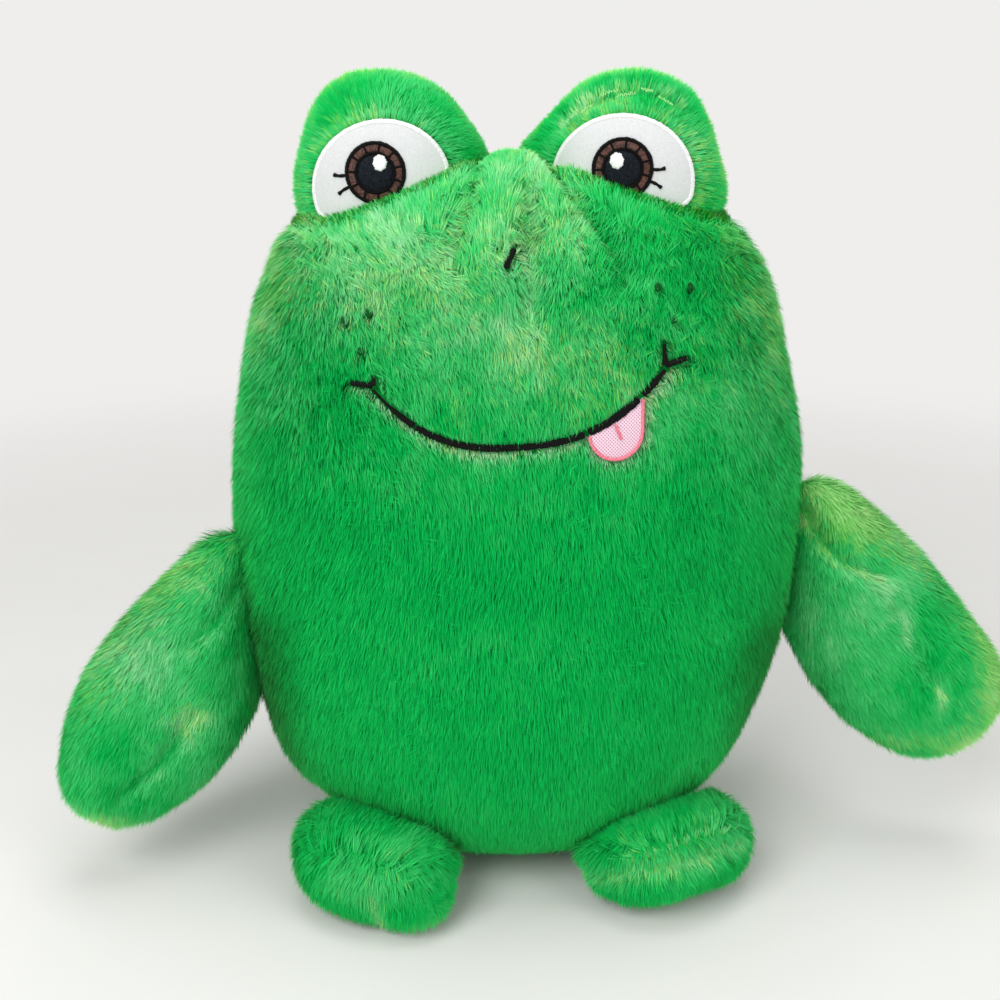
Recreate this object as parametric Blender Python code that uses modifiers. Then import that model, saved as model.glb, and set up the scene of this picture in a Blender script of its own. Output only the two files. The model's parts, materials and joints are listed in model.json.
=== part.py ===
"""Plush frog: a stuffed toy of long-pile fabric that stands on a flattened base.

Metres, +Z up. The toy faces -Y and its left side is at +X. The origin is on the
floor under the body. Each stuffed form is a coarse cage smoothed by subdivision.
It is made once at its full size for the fabric, once smaller by the fabric's
thickness for the hollow, and once smaller again for the stuffing inside. The
embroidery lies on the forms as thin plates of the same curve.
"""

import math

import bmesh
import bpy
import numpy as np
from mathutils import Matrix, Vector
from mathutils.bvhtree import BVHTree

# Fabric, thread and the room between pieces that touch
fabric_thickness = 0.0045
thread_thickness = 0.0010
touch_gap = 0.0003
seam_offset = 0.0020
cut_overrun = 0.0200
sliver_width = 0.00002

# Body: one egg-shaped bag for the head and the belly
body_width = 0.2450
body_depth = 0.1720
body_height = 0.3060
base_cut_depth = 0.0005
body_widest_share = 0.505
body_top_squareness = 2.85
body_bottom_squareness = 2.50
body_top_slimming_share = 0.14
body_slump_degrees = 4.0
slump_start_share = 0.25
slump_end_shares = (0.55, 0.90)

# Eye lobes on the crown, each leaning a little to the toy's right
lobe_width = 0.0720
lobe_depth = 0.0600
lobe_height = 0.0840
lobe_sink = 0.0080
lobe_squareness = 2.3
lobe_reach = {"left": 0.0455, "right": 0.0520}
lobe_lean_degrees = {"left": 4.0, "right": 0.0}

# Eyes: places are from the lobe's centre, outwards and upwards
eye_white_half_width = 0.0285
eye_white_rise = 0.0255
eye_white_reach = {"left": -0.0040, "right": 0.0020}
eye_white_lift = {"left": 0.0010, "right": -0.0020}
eye_white_tilt_degrees = {"left": 15.0, "right": 19.0}
iris_radius = 0.0126
pupil_radius = 0.0077
iris_reach = {"left": -0.0050, "right": 0.0029}
iris_lift = {"left": 0.0060, "right": 0.0036}
highlight_width = 0.0060
highlight_height = 0.0070
highlight_shift = -0.0018
highlight_lift = 0.0040
lash_length = 0.0048
lash_width = 0.0016
lash_fall_degrees = {"upper": 5.0, "lower": 27.0}

# Face stitches on the body: each drop is down from the crown
mouth_width = 0.1085
mouth_drop = 0.0770
mouth_sag = 0.0225
mouth_curve_power = 2.6
mouth_tilt_degrees = 3.9
mouth_stitch_width = 0.0032
corner_stitch_width = 0.0022
corner_stitch_out = 0.0085
corner_stitch_up = {"left": 0.0080, "right": 0.0040}
tongue_place = 0.0356
tongue_half_width = 0.0108
tongue_drop = 0.0150
tongue_border_width = 0.0018
tongue_line_length = 0.0062
tongue_line_width = 0.0010
tongue_line_lean_degrees = 22.0
nostril_place = -0.0034
nostril_drop = 0.0336
nostril_length = 0.0075
nostril_width = 0.0020
nostril_lean_degrees = 24.0
freckle_radius = 0.0022
freckle_places_and_drops = {
    "left": ((0.0516, 0.0443), (0.0576, 0.0560), (0.0642, 0.0450)),
    "right": ((0.0560, 0.0540), (0.0650, 0.0570), (0.0587, 0.0672)),
}

# Arms, sewn into the side seams
arm_length = 0.1310
arm_width = 0.0690
arm_thickness = 0.0480
arm_root_inset = 0.0080
arm_squareness = 2.45
arm_full_distance = 0.0480
arm_root_height = {"left": 0.1570, "right": 0.1370}
arm_root_span = 0.0500
arm_droop_degrees = {"left": 52.0, "right": 53.0}
arm_forward_degrees = {"left": 16.0, "right": 38.0}

# Feet, sewn under the front of the belly
foot_length = 0.0450
foot_width = 0.0730
foot_height = 0.0460
foot_root_inset = 0.0200
foot_squareness = 2.6
foot_full_distance = 0.0300
foot_lift = 0.0004
foot_root_span = 0.0300
foot_spacing = {"left": 0.0330, "right": 0.0200}
foot_splay_degrees = {"left": 30.0, "right": 32.0}

# Where a limb meets the body it is only its fabric's folded edge, and opens outwards from there
limb_edge = 0.0012
limb_root_degrees = 28.0

# Closing seam at the back and the filament of a swing tag at the right lobe
closing_seam_length = 0.0600
closing_seam_width = 0.0016
closing_seam_height = 0.0900
filament_radius = 0.0005
filament_rise = 0.0060
filament_bow = 0.0022
filament_forward = 0.0020
filament_clearance = 0.0070
filament_points = 7

# How finely the forms are cut: cells along each side of a cage
body_cell_count = 6
body_hollow_cell_count = 4
limb_cell_count = 3
limb_hollow_cell_count = 2
outline_steps = 24


def both_sides():
    """Each side's name and its direction along X."""
    return (("left", 1), ("right", -1))


def facing_of(panel):
    """Direction of a panel along Y: the toy looks along -Y."""
    return -1 if panel == "front" else 1


def clear_scene():
    for item in list(bpy.data.objects):
        bpy.data.objects.remove(item)


def new_collection(name):
    group = bpy.data.collections.new(name)
    bpy.context.scene.collection.children.link(group)
    return group


clear_scene()
toy = new_collection("plush_frog")
cutters = new_collection("cutters")


def linear(hex_colour):
    """sRGB hex digits as linear red, green, blue and alpha."""
    parts = [int(hex_colour[i:i + 2], 16) / 255 for i in (0, 2, 4)]
    return tuple(p / 12.92 if p <= 0.04045 else ((p + 0.055) / 1.055) ** 2.4 for p in parts) + (1.0,)


def new_material(name, hex_colour, roughness):
    material = bpy.data.materials.new(name)
    material.use_nodes = True
    shader = material.node_tree.nodes["Principled BSDF"]
    shader.inputs["Base Color"].default_value = linear(hex_colour)
    shader.inputs["Roughness"].default_value = roughness
    shader.inputs["Metallic"].default_value = 0.0
    return material


green_fur = new_material("green_fur", "00A848", 0.90)
white_stuffing = new_material("white_stuffing", "F2F0EA", 0.95)
white_applique = new_material("white_applique", "E6E6E6", 0.70)
brown_thread = new_material("brown_thread", "5A342A", 0.50)
black_thread = new_material("black_thread", "14110F", 0.45)
white_thread = new_material("white_thread", "FAFAFA", 0.45)
olive_thread = new_material("olive_thread", "1F5A22", 0.60)
pink_applique = new_material("pink_applique", "F5D0E0", 0.65)
pink_thread = new_material("pink_thread", "F0788C", 0.50)
clear_nylon = new_material("clear_nylon", "EDEFEF", 0.30)


# Shapes as functions of a unit direction

def rounded(directions, squareness):
    """Unit directions carried out to a block of half size one with well-rounded corners."""
    norm = (np.abs(directions) ** squareness).sum(axis=1) ** (1.0 / squareness)
    return directions / norm[:, None]


def ease(value, start, end):
    """Smooth step from 0 at start to 1 at end."""
    t = np.clip((value - start) / (end - start), 0.0, 1.0)
    return t * t * (3.0 - 2.0 * t)


def slumped(x, z):
    """Height of a point once the toy has slumped a little over its right side."""
    slope_end, slope_stop = (body_height * share for share in slump_end_shares)
    held = ease(z, 0.0, body_height * slump_start_share) * (1.0 - ease(z, slope_end, slope_stop))
    return z + x * math.tan(math.radians(body_slump_degrees)) * held


def body_shape(directions, inset):
    """Egg: an ellipse in plan, squarer below than above, slimmer from front to back at the top
    than at the bottom, and higher on its left side by the slump."""
    upright = directions[:, 2]
    power = np.where(upright > 0, body_top_squareness, body_bottom_squareness)
    flat = np.hypot(directions[:, 0], directions[:, 1])
    norm = (flat ** power + np.abs(upright) ** power) ** (1.0 / power)
    unit = directions / norm[:, None]
    full_height = body_height + base_cut_depth
    below = full_height * body_widest_share
    half_up = np.where(upright > 0, full_height - below, below)
    x = unit[:, 0] * (body_width / 2 - inset)
    y = unit[:, 1] * (body_depth / 2 - inset) * (1.0 - body_top_slimming_share * unit[:, 2])
    z = below - base_cut_depth + unit[:, 2] * (half_up - inset)
    return np.column_stack([x, y, slumped(x, z)])


def lobe_shape(directions, inset):
    half = np.array([lobe_width, lobe_depth, lobe_height]) / 2 - inset
    return rounded(directions, lobe_squareness) * half


def paddle(directions, inset, length, width, thickness, root_inset, squareness):
    """Limb along +X from behind its root to its tip, with its width along Z."""
    half = np.array([(length + root_inset) / 2, thickness / 2, width / 2]) - inset
    points = rounded(directions, squareness) * half
    points[:, 0] += (length - root_inset) / 2
    return points


def thinned(points, thickness, full_distance):
    """Points drawn in towards the plane Y = 0 as they near the seam at X = 0."""
    edge_share = limb_edge / (thickness / 2)
    share = edge_share + (1.0 - edge_share) * np.sqrt(ease(points[:, 0], 0.0, full_distance))
    points[:, 1] *= share
    return points


def arm_shape(droop):
    """Paddle that droops from its seam, which stands along Z."""
    def shape(directions, inset):
        points = paddle(directions, inset, arm_length, arm_width, arm_thickness, arm_root_inset,
                        arm_squareness)
        x = points[:, 0] * math.cos(droop) + points[:, 2] * math.sin(droop)
        z = points[:, 2] * math.cos(droop) - points[:, 0] * math.sin(droop)
        return thinned(np.column_stack([x, points[:, 1], z]), arm_thickness, arm_full_distance)

    return shape


def foot_shape(directions, inset):
    points = paddle(directions, inset, foot_length, foot_width, foot_height, foot_root_inset,
                    foot_squareness)
    return thinned(points, foot_height, foot_full_distance)


# Meshes and objects

def mesh_points(mesh):
    points = np.empty(len(mesh.vertices) * 3, dtype=np.float32)
    mesh.vertices.foreach_get("co", points)
    return points.reshape(-1, 3).astype(float)


def all_round(count=2000):
    """Unit directions spread evenly over a ball, along a spiral from pole to pole."""
    turn = np.arange(count) + 0.5
    up = 1.0 - 2.0 * turn / count
    angle = turn * math.pi * (3.0 - math.sqrt(5.0))
    flat = np.sqrt(1.0 - up ** 2)
    return np.column_stack([flat * np.cos(angle), flat * np.sin(angle), up])


def add_smoothing(item):
    """Subdivision, then one fixed way to halve its facets, so that all offsets of a form are
    parallel."""
    smooth = item.modifiers.new("smooth", "SUBSURF")
    smooth.levels = 1
    smooth.render_levels = 1
    facets = item.modifiers.new("facets", "TRIANGULATE")
    facets.quad_method = "FIXED"


def evaluated_points(item):
    bpy.context.view_layer.update()
    evaluated = item.evaluated_get(bpy.context.evaluated_depsgraph_get())
    points = mesh_points(evaluated.to_mesh())
    evaluated.to_mesh_clear()
    return points


cages = {}


def cage_of(shape, cell_count, inset):
    """Cage of a form, sized so that the smooth form, which the subdivision draws in, fills the
    box of the shape itself. Each cage is worked out once."""
    key = (shape, cell_count, inset)
    if key in cages:
        return cages[key]
    block = bmesh.new()
    bmesh.ops.create_cube(block, size=1.0)
    bmesh.ops.subdivide_edges(block, edges=block.edges[:], cuts=cell_count - 1, use_grid_fill=True)
    directions = np.array([corner.co.normalized() for corner in block.verts])
    for corner, place in zip(block.verts, shape(directions, inset)):
        corner.co = place
    mesh = bpy.data.meshes.new("cage")
    block.to_mesh(mesh)
    block.free()
    mesh.shade_smooth()
    trial = bpy.data.objects.new("trial", mesh)
    cutters.objects.link(trial)
    add_smoothing(trial)
    found = evaluated_points(trial)
    bpy.data.objects.remove(trial)
    wanted = shape(all_round(), inset)
    stretch = (wanted.max(axis=0) - wanted.min(axis=0)) / (found.max(axis=0) - found.min(axis=0))
    corners = wanted.min(axis=0) + (mesh_points(mesh) - found.min(axis=0)) * stretch
    mesh.vertices.foreach_set("co", corners.ravel())
    cages[key] = mesh
    return mesh


def stuffed_form(name, shape, cell_count, inset, carrier=None, group=cutters):
    """Smooth closed form, carried by an empty where it has one."""
    form = bpy.data.objects.new(name, cage_of(shape, cell_count, inset).copy())
    group.objects.link(form)
    form.parent = carrier
    add_smoothing(form)
    if group is cutters:
        form.hide_render = True
        form.display_type = "WIRE"
    return form


def block_cutter(name, low, high, carrier=None, turn=None):
    """Box between two corners, turned about its carrier's origin where asked."""
    shape = bmesh.new()
    bmesh.ops.create_cube(shape, size=1.0)
    low, high = Vector(low), Vector(high)
    middle = (low + high) / 2
    for corner in shape.verts:
        corner.co = middle + Vector(a * b for a, b in zip(corner.co, high - low))
    mesh = bpy.data.meshes.new(name)
    shape.to_mesh(mesh)
    shape.free()
    block = bpy.data.objects.new(name, mesh)
    cutters.objects.link(block)
    block.parent = carrier
    if turn is not None:
        block.matrix_basis = turn
    block.hide_render = True
    block.display_type = "WIRE"
    return block


def prism_cutter(name, outlines, depth, place, carrier=None):
    """Flat outlines, the second one a hole in the first, given a depth about their plane and
    then put in place."""
    drawing = bpy.data.curves.new(name, "CURVE")
    drawing.dimensions = "2D"
    drawing.fill_mode = "BOTH"
    drawing.extrude = depth / 2
    for outline in outlines:
        spline = drawing.splines.new("POLY")
        spline.points.add(len(outline) - 1)
        for point, (across, up) in zip(spline.points, outline):
            point.co = (across, up, 0.0, 1.0)
        spline.use_cyclic_u = True
    guide = bpy.data.objects.new(name + "_outline", drawing)
    cutters.objects.link(guide)
    bpy.context.view_layer.update()
    evaluated = guide.evaluated_get(bpy.context.evaluated_depsgraph_get())
    mesh = bpy.data.meshes.new_from_object(evaluated)
    bpy.data.objects.remove(guide)
    mesh.transform(place)
    body = bmesh.new()
    body.from_mesh(mesh)
    bmesh.ops.remove_doubles(body, verts=body.verts[:], dist=touch_gap / 100)
    bmesh.ops.recalc_face_normals(body, faces=body.faces[:])
    body.to_mesh(mesh)
    body.free()
    prism = bpy.data.objects.new(name, mesh)
    cutters.objects.link(prism)
    prism.parent = carrier
    prism.hide_render = True
    prism.display_type = "WIRE"
    return prism


def upright_prism(name, outlines, depth, carrier=None):
    """Prism of outlines in X and Z that runs along Y from the plane Y = 0 by the depth."""
    stand_up = Matrix.Translation((0.0, depth / 2, 0.0)) @ Matrix.Rotation(math.pi / 2, 4, "X")
    return prism_cutter(name, outlines, abs(depth), stand_up, carrier)


def cut(piece, cutter, operation):
    step = piece.modifiers.new(cutter.name, "BOOLEAN")
    step.operation = operation
    step.solver = "EXACT"
    step.object = cutter


def finish(piece, material):
    """Colour, and a weld of the slivers that the cuts leave where they cross a facet's corner."""
    piece.data.materials.clear()
    piece.data.materials.append(material)
    weld = piece.modifiers.new("slivers", "WELD")
    weld.merge_threshold = sliver_width


def new_carrier(name, place):
    carrier = bpy.data.objects.new(name, None)
    toy.objects.link(carrier)
    carrier.matrix_world = place
    return carrier


# Outlines of the embroidery, as points in X and Z

def disc(centre, half_width, half_height):
    angle = np.linspace(0.0, 2.0 * math.pi, outline_steps, endpoint=False)
    x = centre[0] + half_width * np.cos(angle)
    return np.column_stack([x, centre[1] + half_height * np.sin(angle)])


def turned(points, degrees, centre):
    angle = math.radians(degrees)
    turn = np.array([[math.cos(angle), math.sin(angle)], [-math.sin(angle), math.cos(angle)]])
    return points @ turn + np.array(centre)


def arch(half_width, rise, centre, tilt_degrees):
    """Half an ellipse on a straight base."""
    angle = np.linspace(0.0, math.pi, outline_steps)
    points = np.column_stack([half_width * np.cos(angle), rise * np.sin(angle)])
    return turned(points, tilt_degrees, centre)


def band(path, width):
    """Outline of a stitched line of even width along a path."""
    along = np.gradient(path, axis=0)
    along /= np.linalg.norm(along, axis=1)[:, None]
    beside = np.column_stack([-along[:, 1], along[:, 0]]) * width / 2
    return np.vstack([path + beside, (path - beside)[::-1]])


def straight(start, length, degrees):
    angle = math.radians(degrees)
    end = (start[0] + length * math.cos(angle), start[1] + length * math.sin(angle))
    return np.array([start, end])


def mouth_line(x):
    """Height of the mouth's centre line at x: a shallow dish, tilted with the slump."""
    share = np.abs(2.0 * x / mouth_width) ** mouth_curve_power
    tilt = math.tan(math.radians(mouth_tilt_degrees))
    return body_height - mouth_drop + x * tilt - mouth_sag * (1.0 - share)


# Body: two fabric panels and the stuffing

reach = body_width + cut_overrun


def half_room(name, facing, carrier=None, floor=None):
    """Block on one side of the seam, which lies a little behind the plane Y = 0."""
    near = seam_offset + facing * touch_gap / 2
    low = (-reach, min(near, facing * reach), -reach if floor is None else floor)
    high = (reach, max(near, facing * reach), body_height + reach)
    return block_cutter(name, low, high, carrier)


body_hollow = stuffed_form("body_hollow", body_shape, body_hollow_cell_count, fabric_thickness)
body_clearance = stuffed_form("body_clearance", body_shape, body_cell_count, -touch_gap)

for panel in ("front", "back"):
    piece = stuffed_form(f"body_{panel}_panel", body_shape, body_cell_count, 0.0, group=toy)
    cut(piece, half_room(f"body_{panel}_room", facing_of(panel), floor=0.0), "INTERSECT")
    cut(piece, body_hollow, "DIFFERENCE")
    finish(piece, green_fur)

body_stuffing = stuffed_form("body_stuffing", body_shape, body_hollow_cell_count,
                             fabric_thickness + touch_gap, group=toy)
finish(body_stuffing, white_stuffing)

body_guide = stuffed_form("body_guide", body_shape, body_cell_count, 0.0)
bpy.context.view_layer.update()
body_surface = BVHTree.FromObject(body_guide, bpy.context.evaluated_depsgraph_get())


def plate(name, shape, cell_count, layer, outlines, material, panel="front", carrier=None):
    """Thin embroidered piece on a form: the skin between two offsets of the form, cut to its
    outline. Layer 0 lies on the fabric, layer 1 on another plate, and so on."""
    lift = touch_gap + layer * (thread_thickness + touch_gap)
    piece = stuffed_form(name, shape, cell_count, -(lift + thread_thickness), carrier, toy)
    under = stuffed_form(name + "_under", shape, cell_count, -lift, carrier)
    room = upright_prism(name + "_prism", outlines, facing_of(panel) * reach, carrier)
    cut(piece, room, "INTERSECT")
    cut(piece, under, "DIFFERENCE")
    finish(piece, material)
    return piece


# Eye lobes, their eyes and lashes

def make_lobe(side, sign):
    lean = Matrix.Rotation(-math.radians(lobe_lean_degrees[side]), 4, "Y")
    place = Matrix.Translation((sign * lobe_reach[side], 0.0, body_height - lobe_sink)) @ lean
    carrier = new_carrier(f"{side}_eye_lobe", place)
    hollow = stuffed_form(f"{side}_lobe_hollow", lobe_shape, limb_hollow_cell_count,
                          fabric_thickness, carrier)
    for panel in ("front", "back"):
        piece = stuffed_form(f"{side}_eye_{panel}_panel", lobe_shape, limb_cell_count, 0.0, carrier, toy)
        cut(piece, hollow, "DIFFERENCE")
        cut(piece, body_clearance, "DIFFERENCE")
        cut(piece, half_room(f"{side}_lobe_{panel}_room", facing_of(panel), carrier), "INTERSECT")
        finish(piece, green_fur)
    stuffing = stuffed_form(f"{side}_eye_stuffing", lobe_shape, limb_hollow_cell_count,
                            fabric_thickness + touch_gap, carrier, toy)
    cut(stuffing, body_clearance, "DIFFERENCE")
    finish(stuffing, white_stuffing)
    return carrier


def make_eye(side, sign, carrier):
    white_centre = (sign * eye_white_reach[side], eye_white_lift[side])
    white_outline = arch(eye_white_half_width, eye_white_rise, white_centre,
                         -sign * eye_white_tilt_degrees[side])
    centre = (sign * iris_reach[side], iris_lift[side])
    glint = (centre[0] + highlight_shift, centre[1] + highlight_lift)
    white = plate(f"{side}_eye_white", lobe_shape, limb_cell_count, 0, [white_outline], white_applique,
                  carrier=carrier)
    iris = plate(f"{side}_iris", lobe_shape, limb_cell_count, 1,
                 [disc(centre, iris_radius, iris_radius),
                  disc(centre, pupil_radius + touch_gap, pupil_radius + touch_gap)],
                 brown_thread, carrier=carrier)
    pupil = plate(f"{side}_pupil", lobe_shape, limb_cell_count, 1,
                  [disc(centre, pupil_radius, pupil_radius)], black_thread, carrier=carrier)
    plate(f"{side}_eye_highlight", lobe_shape, limb_cell_count, 2,
          [disc(glint, highlight_width / 2, highlight_height / 2)], white_thread, carrier=carrier)
    white_edge = upright_prism(f"{side}_eye_white_edge", [white_outline],
                               facing_of("front") * reach, carrier)
    for piece in (iris, pupil):
        cut(piece, white_edge, "INTERSECT")
    for piece in (white, iris, pupil):
        cut(piece, body_clearance, "DIFFERENCE")
    for lash, fall in lash_fall_degrees.items():
        angle = math.radians(-fall)
        start = iris_radius + touch_gap
        root = (centre[0] + sign * start * math.cos(angle), centre[1] + start * math.sin(angle))
        heading = -fall if sign > 0 else 180.0 + fall
        outline = band(straight(root, lash_length, heading), lash_width)
        plate(f"{side}_{lash}_lash", lobe_shape, limb_cell_count, 1, [outline], black_thread,
              carrier=carrier)


for side, sign in both_sides():
    make_eye(side, sign, make_lobe(side, sign))


# Face on the body

def body_plate(name, outlines, material, layer=0, panel="front"):
    return plate(name, body_shape, body_cell_count, layer, outlines, material, panel)


def make_mouth():
    x = np.linspace(-mouth_width / 2, mouth_width / 2, outline_steps)
    line = np.column_stack([x, mouth_line(x)])
    body_plate("mouth_stitch", [band(line, mouth_stitch_width)], black_thread)
    for side, sign in both_sides():
        corner = np.array([sign * mouth_width / 2, mouth_line(sign * mouth_width / 2)])
        half = corner_stitch_width / 2
        lift = mouth_stitch_width / 2 + touch_gap + half
        up = corner_stitch_up[side]
        shape = np.array([
            (-half, -half), (corner_stitch_out, -half), (corner_stitch_out, half),
            (half, half), (half, up), (-half, up),
        ])
        outline = corner + np.array([0.0, lift]) + shape * np.array([sign, 1.0])
        body_plate(f"{side}_mouth_corner_stitch", [outline], black_thread)


def tongue_outline(inset, top_overrun):
    """U shape that hangs from the mouth line: its top follows the line, its sides an ellipse."""
    half = tongue_half_width - inset
    x = np.linspace(half, -half, outline_steps // 2)
    slope = math.atan((mouth_line(tongue_place + half) - mouth_line(tongue_place - half)) / (2 * half))
    drop = mouth_stitch_width / 2 / math.cos(slope) + touch_gap
    top = np.column_stack([tongue_place + x, mouth_line(tongue_place + x) - drop + top_overrun])
    angle = np.linspace(math.pi, 2.0 * math.pi, outline_steps)[1:-1]
    low = tongue_drop - inset
    bow_x = half * np.cos(angle)
    bow_z = low * np.sin(angle)
    base = mouth_line(tongue_place + bow_x) - drop
    return np.vstack([top, np.column_stack([tongue_place + bow_x, base + bow_z])])


def make_tongue():
    inner = tongue_border_width + touch_gap
    border = tongue_outline(0.0, 0.0)
    body_plate("tongue_patch", [tongue_outline(inner, 0.0)], pink_applique)
    rim = body_plate("tongue_border", [border], pink_thread)
    core = upright_prism("tongue_core", [tongue_outline(tongue_border_width, cut_overrun)],
                         facing_of("front") * reach)
    cut(rim, core, "DIFFERENCE")
    top = mouth_line(tongue_place) - mouth_stitch_width
    heading = -90.0 + tongue_line_lean_degrees
    line = straight((tongue_place, top - tongue_border_width), tongue_line_length, heading)
    body_plate("tongue_line_stitch", [band(line, tongue_line_width)], pink_thread, layer=1)


def make_nostril_and_freckles():
    heading = 90.0 - nostril_lean_degrees
    angle = math.radians(heading)
    start = (nostril_place - nostril_length / 2 * math.cos(angle),
             body_height - nostril_drop - nostril_length / 2 * math.sin(angle))
    body_plate("nostril_stitch", [band(straight(start, nostril_length, heading), nostril_width)],
               black_thread)
    for side, sign in both_sides():
        for number, (out, drop) in enumerate(freckle_places_and_drops[side], start=1):
            spot = disc((sign * out, body_height - drop), freckle_radius, freckle_radius)
            body_plate(f"{side}_freckle_{number}", [spot], olive_thread)


def make_closing_seam():
    start = (0.0, closing_seam_height - closing_seam_length / 2)
    outline = band(straight(start, closing_seam_length, 90.0), closing_seam_width)
    body_plate("closing_seam_thread", [outline], green_fur, panel="back")


make_mouth()
make_tongue()
make_nostril_and_freckles()
make_closing_seam()


# Limbs: each hangs from an empty on the seam that it turns about

def rays_to_body(starts, inward):
    return [body_surface.ray_cast(start, inward)[0] for start in starts]


def seam_on_body(hits, along, out):
    """Middle of a straight seam line that clears the body by the limb's edge, all along the
    places where the body was hit."""
    middle = (hits[0] + hits[-1]) / 2
    normal = (out - along * out.dot(along)).normalized()
    proud = max((hit - middle).dot(normal) for hit in hits)
    clearance = limb_edge * math.sqrt(2.0) + touch_gap
    return middle + normal * (proud + clearance)


def limb_carrier(name, origin, out, along):
    """Empty on the seam: its X runs out along the limb and its Z along the seam."""
    across = along.cross(out).normalized()
    out = across.cross(along)
    turn = Matrix((out, across, along)).transposed().to_4x4()
    return new_carrier(name, Matrix.Translation(origin) @ turn)


def wedge_cutter(name, inset, carrier):
    """Wedge that opens outwards from the seam, as thick there as the limb's edge. An inset moves
    its two faces inwards."""
    opening = math.radians(limb_root_degrees)
    start = inset / math.sin(opening) - limb_edge
    half = limb_edge + reach * math.tan(opening)
    outline = [(start, -limb_edge), (start + reach, -half), (start + reach, half), (start, limb_edge)]
    return prism_cutter(name, [outline], 2 * reach, Matrix(), carrier)


def make_limb(side, limb, panels, shape, carrier, split_turn, split_offset):
    """Two panels on either side of the split, the hollow between them and its stuffing."""
    root_room = wedge_cutter(f"{side}_{limb}_root_room", 0.0, carrier)
    hollow_room = wedge_cutter(f"{side}_{limb}_hollow_room", fabric_thickness, carrier)
    stuffing_room = wedge_cutter(f"{side}_{limb}_stuffing_room", fabric_thickness + touch_gap, carrier)
    hollow = stuffed_form(f"{side}_{limb}_hollow", shape, limb_hollow_cell_count,
                          fabric_thickness, carrier)
    cut(hollow, hollow_room, "INTERSECT")
    for panel, facing in zip(panels, (1, -1)):
        near = facing * touch_gap / 2 - split_offset
        low = (-reach, -reach, min(near, facing * reach))
        high = (reach, reach, max(near, facing * reach))
        room = block_cutter(f"{side}_{limb}_{panel}_room", low, high, carrier, split_turn)
        piece = stuffed_form(f"{side}_{limb}_{panel}_panel", shape, limb_cell_count, 0.0, carrier, toy)
        cut(piece, root_room, "INTERSECT")
        cut(piece, room, "INTERSECT")
        cut(piece, hollow, "DIFFERENCE")
        cut(piece, body_clearance, "DIFFERENCE")
        finish(piece, green_fur)
    stuffing = stuffed_form(f"{side}_{limb}_stuffing", shape, limb_hollow_cell_count,
                            fabric_thickness + touch_gap, carrier, toy)
    cut(stuffing, stuffing_room, "INTERSECT")
    cut(stuffing, body_clearance, "DIFFERENCE")
    finish(stuffing, white_stuffing)


def make_arm(side, sign):
    up = Vector((0.0, 0.0, 1.0))
    swing = math.radians(arm_forward_degrees[side])
    out = Vector((sign * math.cos(swing), -math.sin(swing), 0.0))
    sideways = Vector((sign, 0.0, 0.0))
    heights = np.linspace(-arm_root_span / 2, arm_root_span / 2, outline_steps // 2)
    starts = [sideways * reach + up * (arm_root_height[side] + height) for height in heights]
    hits = rays_to_body(starts, -sideways)
    along = (hits[-1] - hits[0]).normalized()
    origin = seam_on_body(hits, along, sideways)
    carrier = limb_carrier(f"{side}_arm_seam", origin, out, along)
    droop = math.radians(arm_droop_degrees[side])
    split_turn = Matrix.Rotation(droop, 4, "Y")
    make_limb(side, "arm", ("outer", "inner"), arm_shape(droop), carrier, split_turn, seam_offset)
    return origin, -sign * along


def make_foot(side, sign):
    up = Vector((0.0, 0.0, 1.0))
    splay = math.radians(foot_splay_degrees[side])
    out = Vector((sign * math.sin(splay), -math.cos(splay), 0.0))
    across = up.cross(out)
    seam_height = foot_lift + np.abs(foot_shape(all_round(), 0.0)[:, 1]).max()
    middle = Vector((sign * foot_spacing[side], 0.0, seam_height))
    places = np.linspace(-foot_root_span / 2, foot_root_span / 2, outline_steps // 2)
    starts = [middle + out * reach + across * place for place in places]
    origin = seam_on_body(rays_to_body(starts, -out), across, out)
    carrier = limb_carrier(f"{side}_foot_seam", origin, out, across)
    split_turn = Matrix.Rotation(math.pi / 2, 4, "X")
    make_limb(side, "foot", ("top", "sole"), foot_shape, carrier, split_turn, limb_edge / 3)
    return origin, -across


for side, sign in both_sides():
    for limb, make in (("arm", make_arm), ("foot", make_foot)):
        origin, axis = make(side, sign)
        print(f"{side} {limb} seam at", [round(v, 5) for v in origin], "axis", [round(v, 5) for v in axis])


# Filament left by a swing tag, at the seam of the right eye lobe

def height_above_body(point):
    """How far a point lies over the top of the body; beside the body, over the floor."""
    above = Vector((point.x, point.y, body_height + reach))
    hit = body_surface.ray_cast(above, Vector((0.0, 0.0, -1.0)))[0]
    return point.z - (hit.z if hit else 0.0)


def filament_place(panel):
    """Lowest place on the lobe's outer side that clears the crown."""
    angle = np.linspace(0.0, math.pi / 2, outline_steps)
    rising = np.concatenate([-angle[::-1], angle[1:]])
    directions = np.column_stack([-np.cos(rising), np.zeros(len(rising)), np.sin(rising)])
    outline = [panel.matrix_world @ Vector(point) for point in lobe_shape(directions, 0.0)]
    return next(point for point in outline if height_above_body(point) > filament_clearance)


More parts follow.
